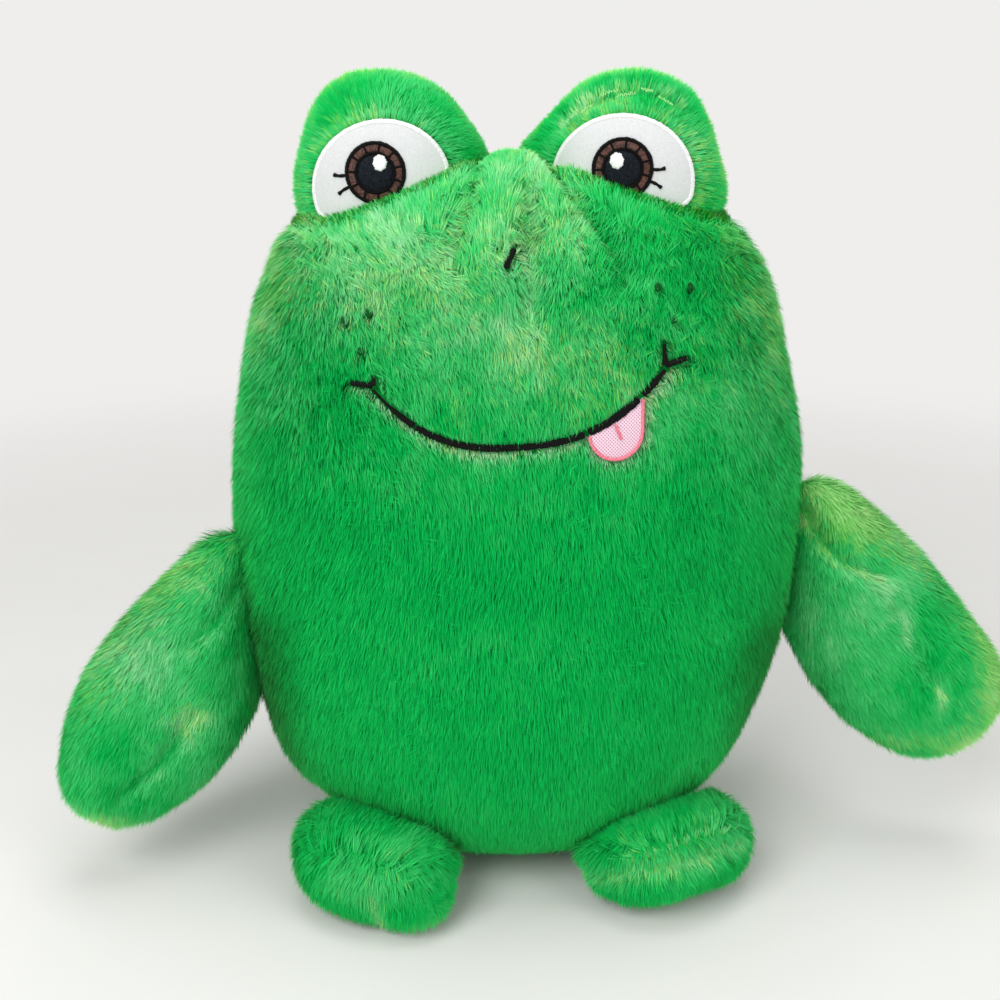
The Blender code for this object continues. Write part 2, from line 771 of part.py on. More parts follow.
def make_filament():
    """Short bent filament left in the seam at the lobe's outer side."""
    lobe_panel = bpy.data.objects["right_eye_front_panel"]
    bpy.context.view_layer.update()
    surface = BVHTree.FromObject(lobe_panel, bpy.context.evaluated_depsgraph_get())
    start = Vector((-reach, -filament_forward, filament_place(lobe_panel).z))
    to_local = lobe_panel.matrix_world.inverted()
    local_hit = surface.ray_cast(to_local @ start, to_local.to_3x3() @ Vector((1.0, 0.0, 0.0)))[0]
    root = lobe_panel.matrix_world @ local_hit
    drawing = bpy.data.curves.new("tag_filament", "CURVE")
    drawing.dimensions = "3D"
    drawing.bevel_depth = filament_radius
    drawing.bevel_resolution = 2
    drawing.use_fill_caps = True
    spline = drawing.splines.new("POLY")
    spline.points.add(filament_points - 1)
    for point, share in zip(spline.points, np.linspace(0.0, 1.0, filament_points)):
        bow = filament_bow * math.sin(math.pi * share)
        x = root.x - touch_gap - filament_radius - bow
        point.co = (x, root.y, root.z + filament_rise * (0.5 - share), 1.0)
    filament = bpy.data.objects.new("tag_filament", drawing)
    toy.objects.link(filament)
    drawing.materials.append(clear_nylon)


make_filament()
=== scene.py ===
# %% [markdown]
# # A plush frog in long-pile fabric
#
# The real toy is a bag of bright green fabric with a pile 9 mm long, filled with loose fibre, with
# two eye lobes, two arms and two feet sewn on and a face embroidered in thread. What the eye sees
# is almost only pile, so this script spends most of its work on it: every form gets a thin skin,
# which stands for the knitted backing, and on the skins grow some 1.2 million strands.
#
# The imported CAD model is loaded first. It gives the places, and the toy's pieces made here ride
# on its bodies, apart from the arms' skins and pile.

# %% The frame
import itertools
import json
import math

import bpy
import numpy as np
from mathutils import Matrix, Vector

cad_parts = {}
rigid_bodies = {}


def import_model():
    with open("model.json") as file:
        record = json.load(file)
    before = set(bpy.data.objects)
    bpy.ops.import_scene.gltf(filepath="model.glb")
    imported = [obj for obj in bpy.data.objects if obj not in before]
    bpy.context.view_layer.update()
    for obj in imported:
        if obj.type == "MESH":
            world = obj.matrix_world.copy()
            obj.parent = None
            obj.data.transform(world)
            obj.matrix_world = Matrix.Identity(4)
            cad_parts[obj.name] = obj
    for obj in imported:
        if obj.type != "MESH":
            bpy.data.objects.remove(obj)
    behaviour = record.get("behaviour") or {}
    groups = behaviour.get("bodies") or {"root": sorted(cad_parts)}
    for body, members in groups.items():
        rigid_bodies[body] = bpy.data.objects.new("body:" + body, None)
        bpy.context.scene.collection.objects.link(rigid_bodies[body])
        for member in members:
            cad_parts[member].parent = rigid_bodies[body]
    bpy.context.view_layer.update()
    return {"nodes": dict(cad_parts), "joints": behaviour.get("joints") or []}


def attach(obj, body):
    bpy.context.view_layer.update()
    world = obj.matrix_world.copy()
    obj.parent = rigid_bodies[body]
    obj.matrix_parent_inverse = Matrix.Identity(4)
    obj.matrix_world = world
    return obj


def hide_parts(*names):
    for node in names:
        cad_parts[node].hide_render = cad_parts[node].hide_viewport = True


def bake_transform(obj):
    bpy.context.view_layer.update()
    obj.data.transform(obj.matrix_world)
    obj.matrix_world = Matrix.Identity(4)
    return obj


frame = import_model()
joints = {joint["name"]: joint for joint in frame["joints"]}

# %% [markdown]
# ## Camera
#
# The toy was photographed from a little above, at arm's length, so near things look larger. A long
# lens far away would flatten it. The camera is turned down by the same angle and stands at the same
# distance, and both were fitted to the outlines in the photograph.

# %% Camera
scene = bpy.context.scene
scene.view_settings.view_transform = "Standard"

camera_pitch = math.radians(18.0)
camera_distance = 0.5335
camera_target = Vector((-0.007, 0.0, 0.160))
view_angle = math.radians(45.0)

camera = bpy.data.objects.new("camera", bpy.data.cameras.new("camera"))
scene.collection.objects.link(camera)
camera.data.angle = view_angle
camera.location = camera_target + camera_distance * Vector(
    (0.0, -math.cos(camera_pitch), math.sin(camera_pitch)))
camera.rotation_euler = (math.pi / 2 - camera_pitch, 0.0, 0.0)
camera.data.clip_start = 0.01
scene.camera = camera
print("camera at", [round(value, 3) for value in camera.location])

# %% [markdown]
# ## Colours and nodes
#
# A colour is written as the sRGB digits that a picture editor shows. Blender reckons with light,
# so one function makes them linear. A material is a graph of nodes, which could be drawn by hand
# in the shader editor. One function adds any node together with its values and links.

# %% Colours and nodes
def linear(hex_colour):
    """sRGB hex digits as linear red, green, blue and alpha."""
    parts = [int(hex_colour[i:i + 2], 16) / 255 for i in (0, 2, 4)]
    light = [p / 12.92 if p <= 0.04045 else ((p + 0.055) / 1.055) ** 2.4 for p in parts]
    return tuple(light) + (1.0,)


def add_node(tree, kind, inputs=None, stops=None, **settings):
    """Adds one node. Inputs are values, or another node's output to link; stops are the places and
    hex colours of a colour ramp."""
    node = tree.nodes.new(kind)
    for name, value in settings.items():
        setattr(node, name, value)
    for socket, value in (inputs or {}).items():
        if isinstance(value, bpy.types.NodeSocket):
            tree.links.new(value, node.inputs[socket])
        else:
            node.inputs[socket].default_value = value
    for number, (place, colour) in enumerate(stops or ()):
        ramp = node.color_ramp.elements
        stop = ramp[number] if number < 2 else ramp.new(place)
        stop.position, stop.color = place, linear(colour)
    return node


print("a grey of 808080 is", round(linear("808080")[0], 3), "of white in linear light")

# %% [markdown]
# ## Materials
#
# Nothing on a plush toy has one even colour: knitted backing, paper and thread are all slightly
# mottled, and most have a grain that can be felt. One noise gives both, the colour and the dents,
# so that they belong together. It reads the object's own coordinates and so moves with the piece.

# %% Materials
def new_material(name, roughness, specular=0.5, sheen=0.0, sheen_tint="FFFFFF"):
    """Principled surface; each value that is the same all over is set on the shader itself."""
    material = bpy.data.materials.new(name)
    material.use_nodes = True
    shader = material.node_tree.nodes["Principled BSDF"]
    shader.inputs["Roughness"].default_value = roughness
    shader.inputs["Specular IOR Level"].default_value = specular
    shader.inputs["Sheen Weight"].default_value = sheen
    shader.inputs["Sheen Tint"].default_value = linear(sheen_tint)
    return material, material.node_tree, shader


def speckled(name, roughness, dark, light, grains, detail=2.0, spread=0.15, dent=0.0,
             dent_depth=0.0002, **surface):
    """Material whose colour shifts from dark to light in a noise with so many grains to a metre of
    the object's own space. The same noise dents it where dent is above 0."""
    material, tree, shader = new_material(name, roughness, **surface)
    place = add_node(tree, "ShaderNodeTexCoord")
    noise = add_node(tree, "ShaderNodeTexNoise", {"Vector": place.outputs["Object"],
                                                  "Scale": grains, "Detail": detail})
    colour = add_node(tree, "ShaderNodeValToRGB", {"Fac": noise.outputs["Fac"]},
                      stops=[(0.5 - spread, dark), (0.5 + spread, light)])
    tree.links.new(colour.outputs["Color"], shader.inputs["Base Color"])
    if dent:
        bump = add_node(tree, "ShaderNodeBump", {"Height": noise.outputs["Fac"], "Strength": dent,
                                                 "Distance": dent_depth})
        tree.links.new(bump.outputs["Normal"], shader.inputs["Normal"])
    return material, tree, shader


print("sheen of pale green", [round(value, 2) for value in linear("B8F4A8")])

# %% [markdown]
# ## Meshes
#
# Nearly every piece here is a grid of points: a skin, a band of thread, a sheet of paper. A grid's
# faces follow from the numbers of its rows and columns alone, so they are worked out as whole
# arrays. Points are given where they belong, and the object itself stays at the origin.

# %% Meshes
def new_mesh_object(name, points, faces, material):
    """Object at the origin, whose place is in its mesh."""
    mesh = bpy.data.meshes.new(name)
    mesh.from_pydata(points.tolist(), [], faces.tolist() if hasattr(faces, "tolist") else faces)
    mesh.shade_smooth()
    mesh.materials.append(material)
    item = bpy.data.objects.new(name, mesh)
    scene.collection.objects.link(item)
    return item


def full_turn(count):
    """Angles at even steps round a circle."""
    return np.linspace(0.0, 2.0 * math.pi, count, endpoint=False)


def strip_faces(rows, columns, wrap_rows=False, wrap_columns=False):
    """Quads of a grid whose point (row, column) has the number row * columns + column."""
    row = np.arange(rows if wrap_rows else rows - 1)[:, None]
    column = np.arange(columns if wrap_columns else columns - 1)[None, :]
    next_row, next_column = (row + 1) % rows, (column + 1) % columns
    return np.stack([row * columns + column, next_row * columns + column,
                     next_row * columns + next_column, row * columns + next_column],
                    axis=-1).reshape(-1, 4)


print("a grid of 3 by 4 points has", len(strip_faces(3, 4)), "faces")

# %% [markdown]
# ## Light
#
# The daylight in the photograph is soft and comes from the upper left, so shadows have no edges.
# Small lamps would draw hard ones. Large area lamps, a strong one and two weak ones, do what a
# window does, and an even white world fills the shadows up. The camera and shiny surfaces see a
# plain wall in its place.

# %% Light
world = bpy.data.worlds.new("studio")
scene.world = world
world.use_nodes = True
sky = world.node_tree
sky.nodes.clear()
seen = add_node(sky, "ShaderNodeLightPath")
glossy_or_seen = add_node(sky, "ShaderNodeMath", {0: seen.outputs["Is Camera Ray"],
                                                  1: seen.outputs["Is Glossy Ray"]},
                          operation="MAXIMUM")
fill_light = add_node(sky, "ShaderNodeBackground", {"Color": linear("FFFFFF"), "Strength": 0.40})
white_wall = add_node(sky, "ShaderNodeBackground", {"Color": linear("F1F0EE"), "Strength": 1.0})
either = add_node(sky, "ShaderNodeMixShader", {0: glossy_or_seen.outputs[0],
                                               1: fill_light.outputs[0], 2: white_wall.outputs[0]})
add_node(sky, "ShaderNodeOutputWorld", {"Surface": either.outputs[0]})

for name, place, width, power in (
    ("key_lamp", (-0.65, -1.00, 1.05), 0.90, 13.5),
    ("side_lamp", (0.95, -0.80, 0.75), 0.80, 4.5),
    ("top_lamp", (0.05, 0.00, 1.40), 0.90, 6.0),
):
    lamp = bpy.data.lights.new(name, "AREA")
    lamp.size = width
    lamp.energy = power
    lamp_object = bpy.data.objects.new(name, lamp)
    scene.collection.objects.link(lamp_object)
    lamp_object.location = place
    lamp_object.rotation_euler = (camera_target - Vector(place)).to_track_quat("-Z", "Y").to_euler()
print(len(bpy.data.lights), "lamps of", sum(lamp.energy for lamp in bpy.data.lights), "W in all")

# %% [markdown]
# ## Backdrop
#
# A photographer's roll of paper lies flat under the toy and curves up behind it. A plane for a
# floor would end in a horizon; one bent sheet has none.

# %% Backdrop
paper, tree, shader = speckled("pale_paper", 0.9, "ECEBE8", "EFEEEC", 9.0, detail=3.0, spread=0.2,
                               specular=0.2)
# Far from the toy the paper is simply pale to the camera, so that no corner of the room darkens it.
where = add_node(tree, "ShaderNodeTexCoord")
away = add_node(tree, "ShaderNodeVectorMath", {0: where.outputs["Object"]}, operation="LENGTH")
far_off = add_node(tree, "ShaderNodeMapRange", {"Value": away.outputs["Value"], "From Min": 0.32,
                                                "From Max": 1.10}, interpolation_type="SMOOTHSTEP")
ray = add_node(tree, "ShaderNodeLightPath")
looked_at = add_node(tree, "ShaderNodeMath", {0: ray.outputs["Is Camera Ray"],
                                              1: ray.outputs["Is Glossy Ray"]}, operation="MAXIMUM")
looked_through = add_node(tree, "ShaderNodeMath", {0: looked_at.outputs[0],
                                                   1: ray.outputs["Is Transmission Ray"]},
                          operation="MAXIMUM")
shown_pale = add_node(tree, "ShaderNodeMath", {0: far_off.outputs["Result"],
                                               1: looked_through.outputs[0]}, operation="MULTIPLY")
plain = add_node(tree, "ShaderNodeEmission", {"Color": linear("EFEEEC"), "Strength": 1.0})
paper_mix = add_node(tree, "ShaderNodeMixShader", {0: shown_pale.outputs[0],
                                                   1: shader.outputs["BSDF"],
                                                   2: plain.outputs[0]})
tree.links.new(paper_mix.outputs[0], tree.nodes["Material Output"].inputs["Surface"])

paper_front, paper_back, paper_rise, paper_bend, paper_half_width = -2.6, 1.5, 3.0, 0.6, 3.2
bend = np.linspace(0.0, math.pi / 2, 24)
profile = np.concatenate([
    [[paper_front, 0.0]],
    np.column_stack([paper_back + paper_bend * np.sin(bend), paper_bend * (1.0 - np.cos(bend))]),
    [[paper_back + paper_bend, paper_rise]],
])
across = np.array([paper_half_width, -paper_half_width])
sheet_points = np.stack([np.broadcast_to(across, (len(profile), 2)),
                         np.broadcast_to(profile[:, :1], (len(profile), 2)),
                         np.broadcast_to(profile[:, 1:], (len(profile), 2))], axis=-1)
backdrop = new_mesh_object("paper_backdrop", sheet_points.reshape(-1, 3),
                           strip_faces(len(profile), 2), paper)
print("sheet of", 2 * paper_half_width, "m by", paper_back + paper_bend - paper_front, "m")

# %% [markdown]
# ## Sizes of the forms
#
# Head and body are one bag, the eye lobes are half sunk in it, and the limbs hang from their
# seams. The sizes, in metres, are the CAD model's own, so the pile grows where the solids are. Only
# the limbs fill out sooner from their seams, because the pile hides the narrow root. The sizes are
# read off the photograph, apart from the depths, which nobody can see there.

# %% Sizes of the forms
body_width, body_depth, body_height = 0.2450, 0.1720, 0.3060
base_cut_depth = 0.0005
body_full_height = body_height + base_cut_depth  # before its base was cut flat
body_widest_share = 0.505
body_middle = body_full_height * body_widest_share - base_cut_depth
body_top_squareness, body_bottom_squareness = 2.85, 2.50
body_top_slimming_share = 0.14
body_slump = math.radians(4.0)
slump_start_share, slump_end_shares = 0.25, (0.55, 0.90)

lobe_size = np.array([0.0720, 0.0600, 0.0840])
lobe_sink = 0.0080
lobe_squareness = 2.3
lobe_reach = {"left": 0.0455, "right": 0.0520}
lobe_lean = {"left": math.radians(4.0), "right": 0.0}

arm_length, arm_width, arm_thickness, arm_root_inset = 0.1310, 0.0690, 0.0480, 0.0080
arm_squareness, arm_full_distance = 2.45, 0.0360
arm_droop = {"left": math.radians(52.0), "right": math.radians(53.0)}
arm_forward = {"left": math.radians(16.0), "right": math.radians(38.0)}
arm_taper = {"left": 0.10, "right": 0.22}
taper_side, taper_length = (-0.012, 0.016), 0.085
# Stuffing pushes the shoulder of each arm a little forwards, over the front of the body.
shoulder_push = {"left_arm": (-0.0050, -0.0080, 0.0), "right_arm": (0.0120, -0.0170, 0.0030)}
shoulder_reach = 0.070

foot_length, foot_width, foot_height, foot_root_inset = 0.0450, 0.0730, 0.0460, 0.0200
foot_squareness, foot_full_distance = 2.6, 0.0170
foot_splay = {"left": math.radians(30.0), "right": math.radians(32.0)}

limb_edge = 0.0012
far_outside = 9.0  # level of a point behind a limb's seam
limb_root_opening = math.radians(46.0)  # the CAD wedge opens by 28 degrees; the pile fills it up
signs = {"left": 1.0, "right": -1.0}
print("body", body_width, "by", body_depth, "by", body_height, "m, arms", arm_length, "m long")

# %% [markdown]
# ## The body's form
#
# A stuffed bag is no ball: its sides are straighter and its ends are flatter. A sculpted mesh could
# show that, but a formula is exact and can be asked for a surface, a normal or a distance. A unit
# direction is carried out to a superellipsoid, which is a ball whose exponent makes it squarer. The
# top is slimmer from front to back, and the whole has slumped a little to one side.

# %% The body's form
def ease(value, start, end):
    """Smooth step: with t the share of the way from start to end, t squared times (3 - 2t)."""
    t = np.clip((value - start) / (end - start), 0.0, 1.0)
    return t * t * (3.0 - 2.0 * t)


def block_norm(vectors, power):
    """The p-norm, (|x|^p + |y|^p + |z|^p)^(1/p), which is 1 on a superellipsoid."""
    return (np.abs(vectors) ** power).sum(axis=-1) ** (1.0 / power)


def turned(x, z, angle):
    """X and Z turned by an angle: x cos a - z sin a, and x sin a + z cos a."""
    return x * math.cos(angle) - z * math.sin(angle), x * math.sin(angle) + z * math.cos(angle)


def slump(x, z):
    """Height that the slump adds: x times the slope, held from the belly up to the temples."""
    held = ease(z, 0.0, body_height * slump_start_share)
    held = held * (1.0 - ease(z, *(body_height * share for share in slump_end_shares)))
    return x * math.tan(body_slump) * held


print("the slump lifts the belly's side by", round(float(slump(0.1, 0.1)), 4), "m at X 0.1")

# %% [markdown]
# ## The body's skin and level
#
# Two questions are asked of the form: where is its skin in a given direction, and how far out is a
# given point? The second one tells a strand whether it starts inside the body. A ray cast against a
# mesh could answer it too, but slowly, for a million strands.

# %% The body's skin and level
def body_halves(upright, inset):
    """Half sizes and exponent of the body's block, for points above or below its middle."""
    below = body_full_height * body_widest_share
    up = np.where(upright > 0, body_full_height - below, below) - inset
    power = np.where(upright > 0, body_top_squareness, body_bottom_squareness)
    return body_width / 2 - inset, body_depth / 2 - inset, up, power


def body_shape(directions, inset):
    """Unit direction over its norm, where the norm is (flat^p + |up|^p)^(1/p), times the half
    sizes. The depth shrinks with height, and the slump is added at the end."""
    half_x, half_y, half_z, power = body_halves(directions[..., 2], inset)
    flat = np.hypot(directions[..., 0], directions[..., 1])
    norm = (flat ** power + np.abs(directions[..., 2]) ** power) ** (1.0 / power)
    unit = directions / norm[..., None]
    x = unit[..., 0] * half_x
    y = unit[..., 1] * half_y * (1.0 - body_top_slimming_share * unit[..., 2])
    z = body_middle + unit[..., 2] * half_z
    return np.stack([x, y, z + slump(x, z)], axis=-1)


def unslumped(x, z):
    """Height before the slump, found by taking the slump off three times over."""
    before = z
    for _ in range(3):
        before = z - slump(x, before)
    return before


def body_level(points):
    """1 on the body's surface, less inside, more outside."""
    z = unslumped(points[..., 0], points[..., 2]) - body_middle
    half_x, half_y, half_z, power = body_halves(z, 0.0)
    up = z / half_z
    slim = 1.0 - body_top_slimming_share * np.clip(up, -1.0, 1.0)
    flat = np.hypot(points[..., 0] / half_x, points[..., 1] / (half_y * slim))
    return (flat ** power + np.abs(up) ** power) ** (1.0 / power)


middle_level = body_level(np.array([[0.0, 0.0, body_middle]]))[0]
print("level 0 in the body's middle and 1 on its skin; found", round(float(middle_level), 3))

# %% [markdown]
# ## Lobes and limbs
#
# The same rounded block makes the lobes, the arms and the feet. A limb is flattened towards its
# seam, where it is only two layers of fabric, and an arm droops from its seam by the weight of its
# filling.

# %% Lobes and limbs
def lobe_shape(directions, inset):
    """Unit direction over its p-norm, times the half sizes."""
    return directions / block_norm(directions, lobe_squareness)[..., None] * (lobe_size / 2 - inset)


def thin_share(x, thickness, full_distance):
    """Share of its thickness that a limb has at x from its seam: the root of a smooth step."""
    edge = limb_edge / (thickness / 2)
    return edge + (1.0 - edge) * np.sqrt(ease(x, 0.0, full_distance))


def limb_points(directions, inset, size, root_inset, squareness, droop, full_distance, taper=0.0):
    """Block along X with rounded corners, turned down by the droop and thinned to its seam. The
    thickness, along Y, also stays within the wedge that opens from the seam. The upper edge is
    drawn in at the root by the taper, so that an arm leaves the shoulder in a straight line."""
    length, width, thickness = size
    half = np.array([(length + root_inset) / 2, thickness / 2, width / 2]) - inset
    block = directions / block_norm(directions, squareness)[..., None] * half
    along = block[..., 0] + (length - root_inset) / 2
    upper = ease(block[..., 2], *taper_side) * (1.0 - ease(along, 0.0, taper_length))
    block[..., 2] *= 1.0 - taper * upper
    x, z = turned(along, block[..., 2], -droop)
    x = np.maximum(x, -limb_edge)
    y = block[..., 1] * thin_share(x, thickness, full_distance)
    room = limb_edge + (x + limb_edge) * math.tan(limb_root_opening) - inset
    room = np.maximum(room, limb_edge / 3)
    return np.stack([x, np.clip(y, -room, room), z], axis=-1)


def limb_level(points, size, root_inset, squareness, droop, full_distance):
    """1 on the limb's surface, less inside, more outside, for points in the limb's own frame."""
    length, width, thickness = size
    x, y, z = points[..., 0], points[..., 1], points[..., 2]
    along, side = turned(x, z, droop)
    block = np.stack([(along - (length - root_inset) / 2) / ((length + root_inset) / 2),
                      y / thin_share(x, thickness, full_distance) / (thickness / 2),
                      side / (width / 2)], axis=-1)
    return np.where(x < -limb_edge, far_outside, block_norm(block, squareness))


print("an arm is", round(float(thin_share(0.0, arm_thickness, arm_full_distance)), 3),
      "of its thickness at the seam")

# %% [markdown]
# ## Placing the forms
#
# Each limb has a frame of its own, whose X leaves the body and whose Z runs along its seam. The
# seams are the hinges of the CAD model, so a limb that is posed turns about its stitches. The
# frames, shapes and levels are kept under each form's name, and later cells loop over them.

# %% Placing the forms
def frame_of(out, along, origin):
    """Rotation and origin of a limb's own frame: X out along the limb, Z along its seam."""
    out, along = Vector(out), Vector(along)
    across = along.cross(out).normalized()
    turn = Matrix((across.cross(along), across, along)).transposed()
    return np.array(turn), np.array(origin)


def to_world(points, place):
    """Rotation times point, plus origin."""
    return points @ place[0].T + place[1]


def to_local(points, place):
    """Point less origin, times the rotation the other way round."""
    return (points - place[1]) @ place[0]


places = {"body": (np.eye(3), np.zeros(3))}
shapes = {"body": body_shape}
levels = {"body": body_level}
arm_size = (arm_length, arm_width, arm_thickness)
foot_size = (foot_length, foot_width, foot_height)
for side, sign in signs.items():
    lobe, arm, foot = f"{side}_lobe", f"{side}_arm", f"{side}_foot"
    lean = Matrix.Rotation(-lobe_lean[side], 3, "Y")
    lobe_middle = np.array([sign * lobe_reach[side], 0.0, body_height - lobe_sink])
    places[lobe] = (np.array(lean), lobe_middle)
    shapes[lobe] = lobe_shape
    levels[lobe] = lambda points: block_norm(points / (lobe_size / 2), lobe_squareness)
    seam = joints[f"{side}_arm_swing"]
    out = (sign * math.cos(arm_forward[side]), -math.sin(arm_forward[side]), 0.0)
    places[arm] = frame_of(out, [-sign * v for v in seam["axis"]], seam["pos_m"])
    arm_facts = (arm_size, arm_root_inset, arm_squareness, arm_droop[side], arm_full_distance)
    shapes[arm] = lambda directions, inset, facts=arm_facts, taper=arm_taper[side]: limb_points(
        directions, inset, *facts, taper)
    levels[arm] = lambda points, facts=arm_facts: limb_level(points, *facts)
    seam = joints[f"{side}_foot_tilt"]
    out = (sign * math.sin(foot_splay[side]), -math.cos(foot_splay[side]), 0.0)
    places[foot] = frame_of(out, [-v for v in seam["axis"]], seam["pos_m"])
    foot_facts = (foot_size, foot_root_inset, foot_squareness, 0.0, foot_full_distance)
    shapes[foot] = lambda directions, inset, facts=foot_facts: limb_points(
        directions, inset, *facts)
    levels[foot] = lambda points, facts=foot_facts: limb_level(points, *facts)


def level_of(form, points):
    """1 on a form's surface, for points in the world."""
    return levels[form](to_local(points, places[form]))


print("forms:", ", ".join(shapes))

# %% [markdown]
# ## Sizes of the embroidery
#
# The face is stitched through the fabric before the toy is filled, so the thread follows the form
# and pulls the pile down beside it. The pile has to know where thread is, so that no strand grows
# out of a stitch or hangs over one. Each stitched figure is an outline in the front view, X and Z.
# Middles and edges lie within about 1 mm of the CAD plates' own: eyes and stitches are drawn a
# little finer than the plates, as the photograph shows them.

# %% Sizes of the embroidery
mouth_width, mouth_drop, mouth_sag, mouth_power = 0.1085, 0.0770, 0.0225, 2.6
mouth_tilt = math.radians(3.9)
mouth_stitch_width = 0.0028
tongue_place, tongue_half_width, tongue_drop, tongue_border_width = 0.0358, 0.0106, 0.0146, 0.0013
nostril_place, nostril_drop, nostril_length, nostril_width = -0.0034, 0.0336, 0.0075, 0.0020
nostril_lean = math.radians(24.0)
freckle_radius = 0.0022
freckles = {
    "left": ((0.0516, 0.0443), (0.0576, 0.0560), (0.0642, 0.0450)),
    "right": ((0.0560, 0.0540), (0.0650, 0.0570), (0.0587, 0.0672)),
}
corner_out, corner_up = 0.0085, {"left": 0.0078, "right": 0.0034}
corner_rise = {"left": 0.0022, "right": 0.0003}
eye_white_half_width, eye_white_rise, eye_white_foot = 0.0276, 0.0247, 0.0110
eye_white_centre = {"left": (-0.0046, 0.0004), "right": (-0.0012, -0.0022)}
eye_white_tilt = {"left": math.radians(-15.0), "right": math.radians(19.0)}
iris_radius, pupil_radius = 0.0118, 0.0073
iris_centre = {"left": (-0.0053, 0.0050), "right": (-0.0026, 0.0032)}
lash_length = 0.0050
lash_falls = {"upper": math.radians(5.0), "lower": math.radians(27.0)}
print("mouth", mouth_width, "m wide, irises", 2 * iris_radius, "m across")

# %% [markdown]
# ## Laying a figure on a form
#
# Embroidery follows the fabric that it is sewn through. A shrinkwrap modifier would press a flat
# figure on, but here the forms are formulas, so the front at any X and Z is worked out, and its
# slopes give the normal along which thread rises.

# %% Laying a figure on a form
def mouth_line(x):
    """Height of the mouth at x: a dish, sag times (1 - |2x / width|^power), on a tilted base."""
    share = np.abs(2.0 * x / mouth_width) ** mouth_power
    return body_height - mouth_drop + x * math.tan(mouth_tilt) - mouth_sag * (1.0 - share)


def front_of_body(x, z, lift=0.0):
    """Y of the body's front at x and z: the flat share is (1 - |up|^p)^(1/p), and y is the half
    depth times the root of its square less that of x over the half width."""
    z = unslumped(x, z) - body_middle
    half_x, half_y, half_z, power = body_halves(z, -lift)
    up = np.clip(z / half_z, -1.0, 1.0)
    flat = (1.0 - np.abs(up) ** power) ** (1.0 / power)
    depth = np.sqrt(np.maximum(flat ** 2 - (x / half_x) ** 2, 0.0))
    return -half_y * (1.0 - body_top_slimming_share * up) * depth


def front_of_lobe(x, z, lift=0.0):
    """Y of a lobe's front at its own x and z."""
    half = lobe_size / 2 + lift
    left = 1.0 - np.abs(x / half[0]) ** lobe_squareness - np.abs(z / half[2]) ** lobe_squareness
    return -half[1] * np.maximum(left, 0.0) ** (1.0 / lobe_squareness)


def laid_on(form, flat, lift=0.0):
    """Points given in the front view, X and Z, laid on a form's front, with the normals there. The
    normal is (dy/dx, -1, dy/dz), made a unit vector."""
    front = front_of_body if form == "body" else front_of_lobe
    x, z = flat[..., 0], flat[..., 1]
    step = 0.0004
    slope_x = (front(x + step, z, lift) - front(x - step, z, lift)) / (2 * step)
    slope_z = (front(x, z + step, lift) - front(x, z - step, lift)) / (2 * step)
    normals = np.stack([slope_x, -np.ones_like(x), slope_z], axis=-1)
    normals /= np.linalg.norm(normals, axis=-1, keepdims=True)
    points = np.stack([x, front(x, z, lift), z], axis=-1)
    return to_world(points, places[form]), normals @ places[form][0].T


mouth_ends = mouth_line(np.array([-mouth_width / 2, mouth_width / 2]))
print("the mouth's ends are at the heights", mouth_ends.round(4))

# %% [markdown]
# ## Outlines of eye white and tongue
#
# The two patches were cut with a template, so a formula for the outline serves as well as a traced
# one and can be drawn in or out. The inset is how far in the middle of a border band runs.

# %% Outlines of eye white and tongue
def eye_white_outline(side, angle, share=1.0):
    """Half an ellipse on a straight base, turned by the tilt. The base is a shallow curve, so that
    the outline closes smoothly; it lies under the pile of the face."""
    up = np.sin(angle)
    rise = np.where(up > 0, eye_white_rise, eye_white_foot)
    x, z = turned(share * eye_white_half_width * np.cos(angle), share * rise * up,
                  eye_white_tilt[side])
    return np.stack([x, z], axis=-1) + eye_white_centre[side]


def tongue_outline(angle, inset=0.0):
    """U whose sides are upright and whose foot is half a circle: the lower of the mouth line and of
    low + radius * (1 + sin(angle)), each side at x = place + half width * cos(angle)."""
    half = tongue_half_width - inset
    x = tongue_place + half * np.cos(angle)
    top = mouth_line(x) - mouth_stitch_width / 2
    low = mouth_line(tongue_place) - mouth_stitch_width / 2 - tongue_drop + inset
    return np.stack([x, np.minimum(low + half * (1.0 + np.sin(angle)), top)], axis=-1)


tongue_foot = tongue_outline(np.array([1.5 * math.pi]))[0]
print("the tongue's foot is at X and Z", tongue_foot.round(4))

# %% [markdown]
# ## How far a strand is from thread
#
# A stitch pulls its fabric in and holds the pile down, which leaves a clear edge round it. Strands
# could be cut away afterwards by hand; here each one is measured against the outlines before it
# grows.

# %% Distances to thread
def distance_to_path(flat, path):
    """Shortest distance, in the front view, from each point to a chain of straight pieces."""
    nearest = np.full(len(flat), np.inf)
    for start, end in zip(path[:-1], path[1:]):
        step = end - start
        share = np.clip(((flat - start) @ step) / (step @ step), 0.0, 1.0)
        nearest = np.minimum(nearest, np.linalg.norm(flat - start - share[:, None] * step, axis=1))
    return nearest


mouth_x = np.linspace(-mouth_width / 2, mouth_width / 2, 60)
mouth_path = np.column_stack([mouth_x, mouth_line(mouth_x)])
nostril_middle = np.array([nostril_place, body_height - nostril_drop])
nostril_way = nostril_length / 2 * np.array([math.sin(nostril_lean), math.cos(nostril_lean)])
nostril_path = np.array([nostril_middle - nostril_way, nostril_middle + nostril_way])
corner_paths = []
for side, sign in signs.items():
    corner = mouth_path[-1 if sign > 0 else 0] + np.array([0.0, mouth_stitch_width / 2])
    corner_paths.append(np.array([corner, corner + [sign * corner_out, corner_rise[side]]]))
    corner_paths.append(np.array([corner, corner + [-sign * 0.0006, corner_up[side]]]))
freckle_spots = np.array([(signs[side] * out, body_height - drop)
                          for side, spots in freckles.items() for out, drop in spots])
print(len(freckle_spots), "freckles and", len(corner_paths), "corner stitches are kept clear")

